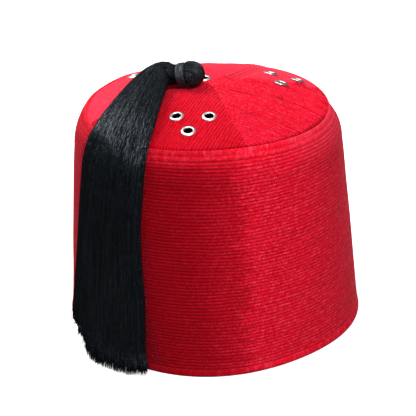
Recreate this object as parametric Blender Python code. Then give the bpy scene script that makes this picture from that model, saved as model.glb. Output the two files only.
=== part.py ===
"""Tall stitched-cloth fez with a domed crown, metal eyelets and a long thread tassel.

Units are metres. +Z is up, -Y is the front, and the origin is the centre of the
head opening in the plane of the rim. The hat stands on its rim. The tassel's head
lies on the crown, and its skirt falls over the front left of the side wall.
"""
from math import atan2, cos, hypot, pi, radians, sin

import bmesh
import bpy
from mathutils import Matrix, Vector

MM = 0.001

# ---------------------------------------------------------------- cloth body
RIM_RADIUS = 96.0 * MM
SHOULDER_RADIUS = 86.4 * MM        # outer radius where the side starts to turn in
SEAM_RADIUS = 78.7 * MM            # outer radius of the seam round the crown
SEAM_HEIGHT = 146.8 * MM
SHOULDER_RISE = 22.3 * MM
SHOULDER_TURN = radians(49.7)
SIDE_BULGE = 0.85 * MM
DOME_RISE = 16.6 * MM
DOME_POWER = 1.75                  # 2 is a parabola, less is more like a cone
WALL = 3.0 * MM
SEAM_GAP = 0.3 * MM

# The hand-made body is a little out of round. Columns: waves round the hat, height
# of each wave in mm, azimuth of its first peak in degrees.
RIM_WAVES = ((2, 1.1, -20.0), (4, 1.4, -8.0))
CROWN_WAVES = ((2, 0.9, -23.0), (3, 0.75, -24.0), (4, 1.0, -40.0))

ROUND_SIDES = 64
SIDE_STEPS = 4
SHOULDER_STEPS = 5
DOME_STEPS = 7

# ------------------------------------------------------------------- eyelets
EYELET_SIDES = 16
EYELET_BORE = 2.75 * MM
EYELET_BARREL = 3.3 * MM
EYELET_FLANGE = 4.7 * MM
EYELET_BACK = 4.3 * MM
EYELET_GRIP = WALL + 0.5 * MM      # from the cloth's face down to the clinched back
FIT = 0.3 * MM                     # gap between an eyelet and the cloth it clasps

# Three hand-punched groups of three, a third of a turn apart, round one in the middle.
# Columns: eyelet, distance of its middle from the crown's in mm, azimuth in degrees.
EYELET_SPOTS = (
    ("centre", 1.4, 150.0),
    ("front_1", 48.8, -112.7),
    ("front_2", 47.4, -88.6),
    ("front_3", 61.3, -101.1),
    ("right_1", 48.8, 7.7),
    ("right_2", 50.6, 32.5),
    ("right_3", 64.9, 21.6),
    ("left_1", 49.0, 128.2),
    ("left_2", 49.0, 152.4),
    ("left_3", 63.0, 140.3),
)

# -------------------------------------------------------------------- tassel
HEAD_CENTRE = Vector((-10.2, -10.8, 171.5)) * MM
NECK_CENTRE = Vector((-15.2, -9.5, 170.6)) * MM
HEAD_HALF_LENGTH = 9.4 * MM
HEAD_RADIUS = 8.1 * MM
HEAD_BLUNT = 2.3                   # 2 is an ellipsoid, more is blunter
NECK_RADIUS = 6.1 * MM
HEAD_SIDES = 18
HEAD_STEPS = 8
NECK_SPLIT = 0.3 * MM              # gap inside the wrap between head and skirt
WRAP_WIDTH = 6.4 * MM
WRAP_THICKNESS = 0.6 * MM
TASSEL_GAP = 0.35 * MM             # the tassel's clearance over the cloth
TASSEL_AXIS = (HEAD_CENTRE - NECK_CENTRE).normalized()
HEAD_REACH = (HEAD_CENTRE - NECK_CENTRE).length
NECK_END = WRAP_WIDTH / 2 + 2 * FIT    # the neck keeps its radius this far from its middle

# The skirt's route over the cloth. Columns: distance over the cloth from the
# crown's centre, azimuth, half width, half thickness and lift of the middle off
# the cloth. All but the azimuth in degrees are in mm.
SKIRT_ROUTE = (
    (27.0, -171.2, 9.6, 7.3, 8.5),
    (32.5, -163.0, 11.2, 7.6, 8.7),
    (42.5, -150.0, 13.8, 7.4, 8.5),
    (55.0, -140.4, 16.4, 6.7, 7.6),
    (69.3, -134.3, 19.6, 5.8, 6.8),
    (81.8, -131.4, 23.4, 5.1, 6.1),
    (93.2, -131.2, 25.2, 4.9, 5.6),
    (106.2, -132.2, 26.2, 4.9, 4.9),
    (128.0, -134.5, 28.0, 5.1, 4.0),
    (152.0, -135.4, 30.2, 5.2, 3.8),
    (176.0, -135.7, 33.0, 5.3, 4.0),
    (199.0, -136.8, 36.0, 5.6, 4.6),
    (213.0, -137.4, 38.2, 5.9, 5.4),
)
LOCKS = 13
LOCK_RELIEF = 0.7 * MM
EDGE_THICKNESS = 0.5 * MM
SKIRT_STATIONS = 24
BEND_EASE = 0.06                   # share of the route over which its direction is taken
TIP_LIFT = 1.5 * MM                # lowest tip over the surface the hat stands on
TIP_FLARE = 4.4 * MM
TIP_FAN = 1.8 * MM
TIP_STAGGER = 0.5 * MM
TIP_TAPER = 0.62
SHORT_SIDE_TIP = 8.5 * MM          # the skirt's left corner is cut this much shorter

LOOP_RADIUS = 0.8 * MM
KNOT_RADIUS = 3.9 * MM
LOOP_SIDES = 10
LOOP_STEPS = 12
# The hanging loop's middle line from behind the head to the centre eyelet, in mm.
LOOP_ROUTE = (
    (-5.4, -5.0, 167.3),
    (-4.2, -3.2, 166.4),
    (-3.0, -1.6, 166.2),
    (-2.0, -0.3, 165.8),
    (-1.4, 0.5, 164.9),
    (-1.2, 0.7, 163.4),
    (-1.2, 0.7, 160.0),
)
# The knot's rings. Columns: mm below the route's end, share of the knot's radius.
KNOT_RINGS = ((1.0, 0.72), (2.2, 1.0), (3.8, 0.86), (5.0, 0.4))


# ------------------------------------------------------------- hat's surface
def waves(table, azimuth):
    return sum(height * MM * cos(count * (azimuth - radians(peak)))
               for count, height, peak in table)


def plan_factor(azimuth, height):
    """How far the outline at this azimuth and height departs from a circle."""
    up = min(1.0, max(0.0, height / SEAM_HEIGHT))
    offset = (1 - up) * waves(RIM_WAVES, azimuth) + up * waves(CROWN_WAVES, azimuth)
    return 1 + offset / RIM_RADIUS


def dome_height(radius):
    return SEAM_HEIGHT + DOME_RISE * (1 - (radius / SEAM_RADIUS) ** DOME_POWER)


def side_outline(side_steps, shoulder_steps):
    """(radius, height) points from the rim up to the crown seam."""
    straight = SEAM_HEIGHT - SHOULDER_RISE
    points = []
    for step in range(side_steps):
        up = step / side_steps
        bulge = SIDE_BULGE * 4 * up * (1 - up)
        radius = RIM_RADIUS + (SHOULDER_RADIUS - RIM_RADIUS) * up + bulge
        points.append((radius, straight * up))
    for step in range(shoulder_steps + 1):
        turn = SHOULDER_TURN * step / shoulder_steps
        inward = (1 - cos(turn)) / (1 - cos(SHOULDER_TURN))
        radius = SHOULDER_RADIUS - (SHOULDER_RADIUS - SEAM_RADIUS) * inward
        points.append((radius, straight + SHOULDER_RISE * sin(turn) / sin(SHOULDER_TURN)))
    return points


def dome_outline(steps):
    """(radius, height) points from the crown seam in to the middle."""
    radii = [SEAM_RADIUS * (1 - step / steps) for step in range(steps + 1)]
    return [(radius, dome_height(radius)) for radius in radii]


def outline_normals(points):
    """Unit normals out of the cloth at each point of a rim-to-middle outline."""
    normals = []
    for index in range(len(points)):
        before = Vector(points[max(index - 1, 0)])
        here = Vector(points[index])
        after = Vector(points[min(index + 1, len(points) - 1)])
        total = Vector((0.0, 0.0))
        for start, end in ((before, here), (here, after)):
            if (end - start).length > 0:
                step = (end - start).normalized()
                total += Vector((step.y, -step.x))
        normals.append(total.normalized())
    return normals


def body_ring(radius, height):
    """One level ring of the out-of-round body."""
    points = []
    for index in range(ROUND_SIDES):
        azimuth = 2 * pi * index / ROUND_SIDES
        r = radius * plan_factor(azimuth, height)
        points.append(Vector((r * cos(azimuth), r * sin(azimuth), height)))
    return points


SURFACE = side_outline(24, 12)[:-1] + dome_outline(24)


def nearest_cloth(point):
    """Height of a point above the outer cloth, the foot below it and the normal."""
    azimuth = atan2(point.y, point.x)
    factor = plan_factor(azimuth, point.z)
    here = Vector((hypot(point.x, point.y) / factor, point.z))
    best = None
    for start, end in zip(SURFACE, SURFACE[1:]):
        a = Vector(start)
        along = Vector(end) - a
        share = min(1.0, max(0.0, (here - a).dot(along) / along.length_squared))
        foot = a + along * share
        distance = (here - foot).length
        if best is None or distance < best[0]:
            normal = Vector((along.y, -along.x)).normalized()
            best = (distance, foot, normal)
    _, foot, normal = best
    height = (here - foot).dot(normal)
    around = Vector((cos(azimuth), sin(azimuth), 0.0))
    foot_3d = around * foot.x * factor + Vector((0.0, 0.0, foot.y))
    return height, foot_3d, around * normal.x + Vector((0.0, 0.0, normal.y))


def on_cloth(distance, azimuth):
    """The point a given distance over the cloth from the crown's middle."""
    outline = list(reversed(SURFACE))
    for start, end in zip(outline, outline[1:]):
        length = (Vector(end) - Vector(start)).length
        if distance <= length or end == outline[-1]:
            radius, height = Vector(start).lerp(Vector(end), distance / length)
            break
        distance -= length
    radius *= plan_factor(azimuth, height)
    return Vector((radius * cos(azimuth), radius * sin(azimuth), height))


def lifted(point, height):
    """The point moved so that it lies at this height over the cloth."""
    _, foot, normal = nearest_cloth(point)
    return foot + normal * height


def clear_of_cloth(point, gap):
    """The point, moved out if need be, so that it is at least this far off the cloth."""
    height, _, normal = nearest_cloth(point)
    return point + normal * max(0.0, gap - height)


# ------------------------------------------------------------- mesh building
def material(name, colour, roughness, metallic=0.0):
    made = bpy.data.materials.new(name)
    made.use_nodes = True
    shader = made.node_tree.nodes["Principled BSDF"]
    shader.inputs["Base Color"].default_value = (*colour, 1.0)
    shader.inputs["Roughness"].default_value = roughness
    shader.inputs["Metallic"].default_value = metallic
    return made


def finish(name, mesh_data, surface, matrix=None, sharp=35):
    """Turn a bmesh into a named object with its faces out and smooth shading."""
    bmesh.ops.recalc_face_normals(mesh_data, faces=mesh_data.faces)
    mesh = bpy.data.meshes.new(name)
    mesh_data.to_mesh(mesh)
    mesh_data.free()
    mesh.materials.append(surface)
    mesh.shade_smooth()
    mesh.set_sharp_from_angle(angle=radians(sharp))
    made = bpy.data.objects.new(name, mesh)
    if matrix is not None:
        made.matrix_world = matrix
    bpy.context.scene.collection.objects.link(made)
    return made


def join_rings(mesh_data, lower, upper):
    """Quads between two rings of vertices; a ring of one vertex is a pole."""
    count = max(len(lower), len(upper))
    for index in range(count):
        after = (index + 1) % count
        corners = [lower[0]] if len(lower) == 1 else [lower[index], lower[after]]
        corners += [upper[0]] if len(upper) == 1 else [upper[after], upper[index]]
        mesh_data.faces.new(corners)


def loft(rings, closed=False, capped=False):
    """A body through rings of points, joined end to end or capped at both ends."""
    mesh_data = bmesh.new()
    rows = [[mesh_data.verts.new(point) for point in points] for points in rings]
    for lower, upper in zip(rows, rows[1:]):
        join_rings(mesh_data, lower, upper)
    if closed:
        join_rings(mesh_data, rows[-1], rows[0])
    if capped:
        for row in (rows[0], rows[-1]):
            if len(row) > 1:
                mesh_data.faces.new(row)
    return mesh_data


def round_ring(middle, side, up, radius, sides):
    """A circle of points about a middle, in the plane of two unit vectors."""
    angles = [2 * pi * index / sides for index in range(sides)]
    return [middle + (side * cos(angle) + up * sin(angle)) * radius for angle in angles]


def level_ring(radius, height, sides):
    return round_ring(Vector((0, 0, height)), Vector((1, 0, 0)), Vector((0, 1, 0)), radius, sides)


def frame_along(direction, up):
    """Two unit vectors across a direction, the second one nearest to up."""
    side = direction.cross(up).normalized()
    return side, side.cross(direction).normalized()


def smooth_path(points, share):
    """A point of the smooth curve through all the points, at a share of its way."""
    spans = len(points) - 1
    index = min(int(share * spans), spans - 1)
    t = share * spans - index
    p1, p2 = points[index], points[index + 1]
    p0 = points[index - 1] if index > 0 else p1 * 2 - p2
    p3 = points[index + 2] if index + 2 <= spans else p2 * 2 - p1
    return ((p1 * 2) + (p2 - p0) * t + (p0 * 2 - p1 * 5 + p2 * 4 - p3) * t ** 2
            + (p1 * 3 - p0 - p2 * 3 + p3) * t ** 3) * 0.5


def path_direction(points, share, step=0.015):
    ahead = smooth_path(points, min(share + step, 1.0))
    return (ahead - smooth_path(points, max(share - step, 0.0))).normalized()


# ---------------------------------------------------------------- cloth body
def seam_frame():
    """Seam point on the outline, the normal of its mitre and the way up the dome."""
    outline = side_outline(SIDE_STEPS, SHOULDER_STEPS)[:-1] + dome_outline(DOME_STEPS)
    index = SIDE_STEPS + SHOULDER_STEPS
    mitre = outline_normals(outline)[index]
    return Vector(outline[index]), mitre, Vector((-mitre.y, mitre.x))


def build_side_wall(surface):
    outer = side_outline(SIDE_STEPS, SHOULDER_STEPS)
    normals = outline_normals(outer)
    normals[0] = Vector((1.0, 0.0))
    normals[-1] = seam_frame()[1]
    inner = [Vector(point) - normal * WALL for point, normal in zip(outer, normals)]
    levels = outer + list(reversed(inner))
    rings = [body_ring(*level) for level in levels]
    return finish("side_wall", loft(rings, closed=True), surface)


def build_crown(surface, cutter):
    seam, mitre, up_dome = seam_frame()
    outer = [tuple(seam + up_dome * SEAM_GAP)] + dome_outline(DOME_STEPS)[1:]
    normals = outline_normals(outer)
    normals[0] = mitre
    inner = [Vector(point) - normal * WALL for point, normal in zip(outer, normals)]
    top = outer[-1][1]
    rings = [[Vector((0.0, 0.0, top))]]
    rings += [body_ring(*level) for level in reversed(outer[:-1])]
    rings += [body_ring(*level) for level in inner[:-1]]
    rings += [[Vector((0.0, 0.0, top - WALL))]]
    crown = finish("crown", loft(rings), surface)
    cut = crown.modifiers.new("eyelet_holes", "BOOLEAN")
    cut.operation = "DIFFERENCE"
    cut.solver = "EXACT"
    cut.object = cutter
    return crown


# ------------------------------------------------------------------- eyelets
def eyelet_places():
    """Name and matrix of each eyelet, which sits square to the cloth."""
    places = {}
    for name, distance, azimuth in EYELET_SPOTS:
        radius = distance * MM / plan_factor(radians(azimuth), SEAM_HEIGHT)
        spot = Matrix.Rotation(radians(azimuth), 4, "Z") @ Vector((distance * MM, 0.0, 0.0))
        spot.z = dome_height(radius)
        _, foot, normal = nearest_cloth(spot)
        turn = Vector((0.0, 0.0, 1.0)).rotation_difference(normal)
        places[f"eyelet_{name}"] = Matrix.Translation(foot) @ turn.to_matrix().to_4x4()
    return places


def eyelet_mesh():
    """Rolled flange over the cloth, barrel through it and a clinched back."""
    back = -EYELET_GRIP
    outline = (
        (EYELET_BORE, back - 0.30 * MM),
        (EYELET_BORE, FIT + 0.55 * MM),
        (EYELET_BARREL, FIT + 0.95 * MM),
        (EYELET_FLANGE - 0.55 * MM, FIT + 0.80 * MM),
        (EYELET_FLANGE, FIT + 0.25 * MM),
        (EYELET_FLANGE - 0.20 * MM, FIT),
        (EYELET_BARREL, FIT),
        (EYELET_BARREL, back),
        (EYELET_BACK, back),
        (EYELET_BACK - 0.25 * MM, back - 0.50 * MM),
    )
    rings = [level_ring(radius, height, EYELET_SIDES) for radius, height in outline]
    return loft(rings, closed=True)


def build_eyelets(surface, places):
    for name, matrix in places.items():
        finish(name, eyelet_mesh(), surface, matrix, sharp=50)


def build_hole_cutter(places):
    """One hidden cutter holding a short bar through the crown for each eyelet."""
    mesh_data = bmesh.new()
    for matrix in places.values():
        rows = []
        for height in (-3 * WALL, 3 * WALL):
            end = level_ring(EYELET_BARREL + FIT, height, EYELET_SIDES)
            rows.append([mesh_data.verts.new(matrix @ point) for point in end])
            mesh_data.faces.new(rows[-1])
        join_rings(mesh_data, *rows)
    cutter = finish("eyelet_hole_cutter", mesh_data, material("cutter", (0.5, 0.5, 0.5), 0.5))
    cutter.hide_render = True
    cutter.display_type = "WIRE"
    return cutter


# -------------------------------------------------------------------- tassel
def head_radius(along):
    """Radius of the folded thread head at a distance from the neck's middle."""
    if along > HEAD_REACH:
        left = (along - HEAD_REACH) / HEAD_HALF_LENGTH
        return HEAD_RADIUS * max(0.0, 1 - left ** HEAD_BLUNT) ** (1 / HEAD_BLUNT)
    swell = max(0.0, (along - NECK_END) / (HEAD_REACH - NECK_END))
    return NECK_RADIUS + (HEAD_RADIUS - NECK_RADIUS) * sin(0.5 * pi * swell) ** 0.8


def build_tassel_head(surface):
    side, up = frame_along(TASSEL_AXIS, Vector((0.0, 0.0, 1.0)))
    far = HEAD_REACH + HEAD_HALF_LENGTH
    stations = [NECK_SPLIT / 2]
    stations += [NECK_END + (far - NECK_END) * (1 - (1 - step / HEAD_STEPS) ** 1.6)
                 for step in range(HEAD_STEPS)]
    rings = []
    for along in stations:
        middle = NECK_CENTRE + TASSEL_AXIS * along
        points = round_ring(middle, side, up, head_radius(along), HEAD_SIDES)
        rings.append([clear_of_cloth(point, TASSEL_GAP) for point in points])
    rings.append([NECK_CENTRE + TASSEL_AXIS * far])
    return finish("tassel_head", loft(rings, capped=True), surface, sharp=60)


def build_neck_wrap(surface):
    side, up = frame_along(TASSEL_AXIS, Vector((0.0, 0.0, 1.0)))
    inner = NECK_RADIUS + FIT
    outer = inner + WRAP_THICKNESS
    half = WRAP_WIDTH / 2
    outline = ((inner, -half), (outer, -half * 0.9), (outer + 0.15 * MM, 0.0),
               (outer, half * 0.9), (inner, half))
    rings = [round_ring(NECK_CENTRE + TASSEL_AXIS * along, side, up, radius, HEAD_SIDES)
             for radius, along in outline]
    return finish("tassel_neck_wrap", loft(rings, closed=True), surface, sharp=60)


def skirt_route():
    """Middles and sizes of the skirt's rows, from the neck to the last one."""
    middle = NECK_CENTRE - TASSEL_AXIS * NECK_END
    middles = [middle]
    sizes = [Vector((NECK_RADIUS, NECK_RADIUS, nearest_cloth(middle)[0]))]
    for distance, azimuth, *size in SKIRT_ROUTE:
        sizes.append(Vector(size) * MM)
        middles.append(lifted(on_cloth(distance * MM, radians(azimuth)), size[2] * MM))
    return middles, sizes


def skirt_angles():
    """Angles round a section of the skirt, from its left edge over to its right."""
    return [pi * (1 - index / (2 * LOCKS)) for index in range(2 * LOCKS + 1)]


def neck_section(back):
    """Outer and inner points of the skirt's round neck, this far from its middle."""
    side, up = frame_along(TASSEL_AXIS, Vector((0.0, 0.0, 1.0)))
    middle = NECK_CENTRE - TASSEL_AXIS * back
    outer = [middle + (side * cos(angle) + up * sin(angle)) * NECK_RADIUS
             for angle in skirt_angles()]
    inner = [middle + (side * cos(angle) - up * sin(angle)) * NECK_RADIUS
             for angle in skirt_angles()[::2]]
    return outer, inner


def skirt_section(route, share):
    """Outer and inner points of the skirt from its left edge to its right edge."""
    middles, sizes = route
    half_width, half_thickness, lift = smooth_path(sizes, share)
    middle = smooth_path(middles, share)
    across = nearest_cloth(middle)[2].cross(path_direction(middles, share, BEND_EASE)).normalized()
    grown = min(1.0, share * 4)
    outer, inner = [], []
    for index, angle in enumerate(skirt_angles()):
        relief = LOCK_RELIEF * grown * (1 if index % 2 else -1)
        height = lift + (half_thickness + relief * sin(angle)) * sin(angle)
        spot = middle + across * half_width * cos(angle)
        outer.append(lifted(spot, max(height, 3 * TASSEL_GAP)))
        if index % 2 == 0:
            depth = lift - half_thickness * sin(angle) - EDGE_THICKNESS * (1 - sin(angle))
            inner.append(lifted(spot, max(depth, TASSEL_GAP)))
    return outer, inner, across


def lock_tip(corners, index, across):
    """The end of one lock: its outline drawn down, flared out and tapered."""
    middle = sum(corners, Vector()) / len(corners)
    normal = nearest_cloth(middle)[2]
    left_share = 1 - index / (LOCKS - 1)
    floor = TIP_LIFT + (index * 5 % 3) * TIP_STAGGER + SHORT_SIDE_TIP * left_share ** 5
    out = Vector((normal.x, normal.y, 0.0)).normalized()
    fan = (0.7 - left_share) * TIP_FAN
    flare = TIP_FLARE * (1 - left_share ** 3) * (0.5 + 0.8 * left_share)
    end = middle + out * flare + across * fan
    end.z = floor
    points = []
    for corner in corners:
        offset = (corner - middle) * TIP_TAPER
        offset.z *= 0.2
        points.append(end + offset)
    lowest = min(point.z for point in points)
    return [point + Vector((0.0, 0.0, max(0.0, floor - lowest))) for point in points]


def build_tassel_skirt(surface):
    mesh_data = bmesh.new()
    route = skirt_route()
    sections = [neck_section(NECK_SPLIT / 2), neck_section(NECK_END)]
    for station in range(1, SKIRT_STATIONS + 1):
        outer, inner, across = skirt_section(route, station / SKIRT_STATIONS)
        sections.append((outer, inner))
    outer_rows = [[mesh_data.verts.new(point) for point in outer] for outer, _ in sections]
    inner_rows = [[mesh_data.verts.new(point) for point in inner] for _, inner in sections]
    for station in range(len(sections) - 1):
        outer, outer_next = outer_rows[station], outer_rows[station + 1]
        inner, inner_next = inner_rows[station], inner_rows[station + 1]
        for strip, strip_next in ((outer, outer_next), (inner, inner_next)):
            for index in range(len(strip) - 1):
                mesh_data.faces.new((strip[index], strip[index + 1],
                                     strip_next[index + 1], strip_next[index]))
        for edge in (0, -1):
            mesh_data.faces.new((inner[edge], outer[edge], outer_next[edge], inner_next[edge]))
    for lock in range(LOCKS):
        ends = []
        for outer, inner in ((outer_rows[0], inner_rows[0]), (outer_rows[-1], inner_rows[-1])):
            ends.append(outer[2 * lock:2 * lock + 3] + [inner[lock + 1], inner[lock]])
        mesh_data.faces.new(ends[0])
        corners = [vert.co.copy() for vert in ends[1]]
        tip = [mesh_data.verts.new(point) for point in lock_tip(corners, lock, across)]
        join_rings(mesh_data, ends[1], tip)
        mesh_data.faces.new(tip)
    return finish("tassel_skirt", mesh_data, surface, sharp=80)


def build_hanging_loop(surface):
    """Thread from the head through the middle eyelet, with a knot inside the crown."""
    route = [Vector(point) * MM for point in LOOP_ROUTE]
    rings = []
    for step in range(LOOP_STEPS + 1):
        share = step / LOOP_STEPS
        side, up = frame_along(path_direction(route, share), Vector((1.0, 0.0, 0.0)))
        rings.append(round_ring(smooth_path(route, share), side, up, LOOP_RADIUS, LOOP_SIDES))
    for down, size in KNOT_RINGS:
        middle = route[-1] - Vector((0.0, 0.0, down * MM))
        rings.append(round_ring(middle, side, up, KNOT_RADIUS * size, LOOP_SIDES))
    return finish("tassel_hanging_loop", loft(rings, capped=True), surface, sharp=60)


def main():
    for existing in list(bpy.data.objects):
        bpy.data.objects.remove(existing, do_unlink=True)
    side_cloth = material("red_velvet_side", (0.56, 0.005, 0.020), 0.85)
    crown_cloth = material("red_velvet_crown", (0.62, 0.006, 0.024), 0.85)
    metal = material("silver_eyelet", (0.86, 0.87, 0.86), 0.25, metallic=1.0)
    thread = material("black_silk", (0.010, 0.012, 0.015), 0.42)
    lashing = material("black_lashing", (0.030, 0.035, 0.040), 0.38)
    places = eyelet_places()
    build_side_wall(side_cloth)
    build_crown(crown_cloth, build_hole_cutter(places))
    build_eyelets(metal, places)
    build_tassel_head(thread)
    build_neck_wrap(lashing)
    build_tassel_skirt(thread)
    build_hanging_loop(thread)


main()
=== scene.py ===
"""Dresses the fez: stitched velvet body and crown, rolled eyelets and a tassel of thread.

Lengths are in millimetres until a mesh is made. +Z is up, -Y is the front and the hat
stands on its rim at z = 0, as in the frame.
"""
from math import cos, pi, radians, sin

import bpy
import numpy as np
from mathutils import Matrix, Vector, geometry


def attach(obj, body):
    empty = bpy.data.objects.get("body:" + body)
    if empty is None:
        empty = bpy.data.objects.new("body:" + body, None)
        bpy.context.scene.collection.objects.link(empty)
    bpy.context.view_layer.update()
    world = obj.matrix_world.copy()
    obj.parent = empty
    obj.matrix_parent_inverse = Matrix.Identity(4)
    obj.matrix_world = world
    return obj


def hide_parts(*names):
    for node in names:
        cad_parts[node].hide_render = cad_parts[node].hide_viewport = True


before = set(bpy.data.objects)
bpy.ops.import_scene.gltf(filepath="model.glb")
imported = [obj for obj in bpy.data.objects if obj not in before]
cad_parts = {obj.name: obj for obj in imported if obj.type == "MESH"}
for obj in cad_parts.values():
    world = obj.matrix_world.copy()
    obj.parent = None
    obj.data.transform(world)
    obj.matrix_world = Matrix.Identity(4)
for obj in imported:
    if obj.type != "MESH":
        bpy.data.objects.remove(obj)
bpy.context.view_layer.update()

MM = 0.001

# --- the hat's surface
RIM_RADIUS = 96.0
SHOULDER_RADIUS = 86.4
SEAM_RADIUS = 78.7
SEAM_HEIGHT = 146.8
SHOULDER_RISE = 22.3
SHOULDER_TURN = radians(49.7)
SIDE_BULGE = 0.85
DOME_RISE = 16.6
DOME_POWER = 1.75
WALL = 3.0
SEAM_GAP = 0.3
RIM_WAVES = ((2, 1.1, -20.0), (4, 1.4, -8.0))
CROWN_WAVES = ((2, 0.9, -23.0), (3, 0.75, -24.0), (4, 1.0, -40.0))


def unit(vectors):
    return vectors / np.maximum(np.linalg.norm(vectors, axis=-1, keepdims=True), 1e-9)


def smooth(value):
    """0 to 1 with soft ends."""
    value = np.clip(value, 0.0, 1.0)
    return value * value * (3 - 2 * value)


def bell(away, width):
    return np.exp(-(away / width) ** 2)


def polar(points):
    """Azimuth of points round the hat's axis, and how far they are from it."""
    return np.arctan2(points[:, 1], points[:, 0]), np.hypot(points[:, 0], points[:, 1])


def ring_angles(count):
    return 2 * pi * np.arange(count) / count


def from_azimuth(azimuths, middle):
    """How far round azimuths are from this one, the shorter way."""
    return (azimuths - middle + pi) % (2 * pi) - pi


def between(at, run, line):
    """Both columns of a line of points, this far along its run."""
    return np.interp(at, run, line[:, 0]), np.interp(at, run, line[:, 1])


def waves(table, azimuth):
    return sum(height * np.cos(count * (azimuth - radians(peak))) for count, height, peak in table)


def plan_factor(azimuth, height):
    """How far out the cloth is here, as a factor on a round hat's radius."""
    up = np.clip(height / SEAM_HEIGHT, 0.0, 1.0)
    offset = (1 - up) * waves(RIM_WAVES, azimuth) + up * waves(CROWN_WAVES, azimuth)
    return 1 + offset / RIM_RADIUS


def dome_height(radius):
    return SEAM_HEIGHT + DOME_RISE * (1 - (radius / SEAM_RADIUS) ** DOME_POWER)


def dome_slope(radius):
    """Fall of the dome for each step outwards."""
    return DOME_RISE * DOME_POWER / SEAM_RADIUS * (radius / SEAM_RADIUS) ** (DOME_POWER - 1)


def side_outline(side_steps, shoulder_steps):
    """Radius and height up the side wall, straight at first and then round the shoulder."""
    straight = SEAM_HEIGHT - SHOULDER_RISE
    up = np.arange(side_steps) / side_steps
    radius = RIM_RADIUS + (SHOULDER_RADIUS - RIM_RADIUS) * up + SIDE_BULGE * 4 * up * (1 - up)
    lower = np.stack([radius, straight * up], -1)
    turn = SHOULDER_TURN * np.arange(shoulder_steps + 1) / shoulder_steps
    inward = (1 - np.cos(turn)) / (1 - cos(SHOULDER_TURN))
    radius = SHOULDER_RADIUS - (SHOULDER_RADIUS - SEAM_RADIUS) * inward
    upper = np.stack([radius, straight + SHOULDER_RISE * np.sin(turn) / sin(SHOULDER_TURN)], -1)
    return np.concatenate([lower, upper])


def run_along(outline):
    steps = np.linalg.norm(np.diff(outline, axis=0), axis=1)
    return np.concatenate([[0.0], np.cumsum(steps)])


SIDE = side_outline(160, 90)
SIDE_RUN = run_along(SIDE)
SIDE_LENGTH = SIDE_RUN[-1]
DOME_RADII = np.linspace(SEAM_RADIUS, 0.0, 97)
SURFACE = np.concatenate([side_outline(80, 50)[:-1], np.stack([DOME_RADII, dome_height(DOME_RADII)], -1)])
FROM_TOP = SURFACE[::-1]
TOP_RUN = run_along(FROM_TOP)


def outline_normal(outline):
    along = unit(np.gradient(outline, axis=0))
    return np.stack([along[:, 1], -along[:, 0]], -1)


SIDE_NORMALS = outline_normal(SIDE)
SEAM_SLOPE = dome_slope(SEAM_RADIUS)
SEAM_MITRE = unit(SIDE_NORMALS[-1] + unit(np.array([SEAM_SLOPE, 1.0])))
SIDE_NORMALS[-1] = SEAM_MITRE


def side_point(run, azimuth, offset):
    """Points on the side wall: millimetres up from the rim, azimuth, height off the cloth."""
    radius, height = between(run, SIDE_RUN, SIDE)
    across, up = between(run, SIDE_RUN, SIDE_NORMALS)
    far = (radius + across * offset) * plan_factor(azimuth, height)
    return np.stack([far * np.cos(azimuth), far * np.sin(azimuth), height + up * offset], -1)


def nearest_cloth(points):
    """Height of points above the outer cloth, the feet below them and the normals, in any shape."""
    shape, points = points.shape, points.reshape(-1, 3)
    azimuth, far = polar(points)
    factor = plan_factor(azimuth, points[:, 2])
    here = np.stack([far / factor, points[:, 2]], -1)
    start = SURFACE[:-1]
    along = np.diff(SURFACE, axis=0)
    share = ((here[:, None] - start) * along).sum(-1) / (along ** 2).sum(-1)
    feet = start + along * np.clip(share, 0, 1)[..., None]
    nearest = np.linalg.norm(here[:, None] - feet, axis=-1).argmin(1)
    foot = feet[np.arange(len(points)), nearest]
    normal = unit(np.stack([along[nearest, 1], -along[nearest, 0]], -1))
    height = ((here - foot) * normal).sum(-1)
    outwards = np.stack([np.cos(azimuth), np.sin(azimuth)], -1)
    feet = np.concatenate([outwards * (foot[:, 0] * factor)[:, None], foot[:, 1:]], -1)
    normals = np.concatenate([outwards * normal[:, :1], normal[:, 1:]], -1)
    return height.reshape(shape[:-1]), feet.reshape(shape), normals.reshape(shape)


def on_cloth(distance, azimuth):
    radius, height = between(distance, TOP_RUN, FROM_TOP)
    radius = radius * plan_factor(azimuth, height)
    return np.array([radius * cos(azimuth), radius * sin(azimuth), height])


def lattice_noise(u, v, seed, around=97, tall=251):
    """Smooth noise from -1 to 1 over two coordinates; it repeats every `around` of u."""
    table = np.random.default_rng(seed).uniform(-1, 1, (around, tall))
    u, v = np.broadcast_arrays(u, v)
    iu, iv = np.floor(u).astype(int), np.floor(v).astype(int)
    fu, fv = smooth(u - iu), smooth(v - iv)
    low, high = (table[iu % around, at % tall] * (1 - fu) + table[(iu + 1) % around, at % tall] * fu
                 for at in (iv, iv + 1))
    return low * (1 - fv) + high * fv


def plan_noise(x, y, size, seed):
    """Noise over the hat's plan, in lumps of this size."""
    return lattice_noise(x / size + 40, y / size + 40, seed)


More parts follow.
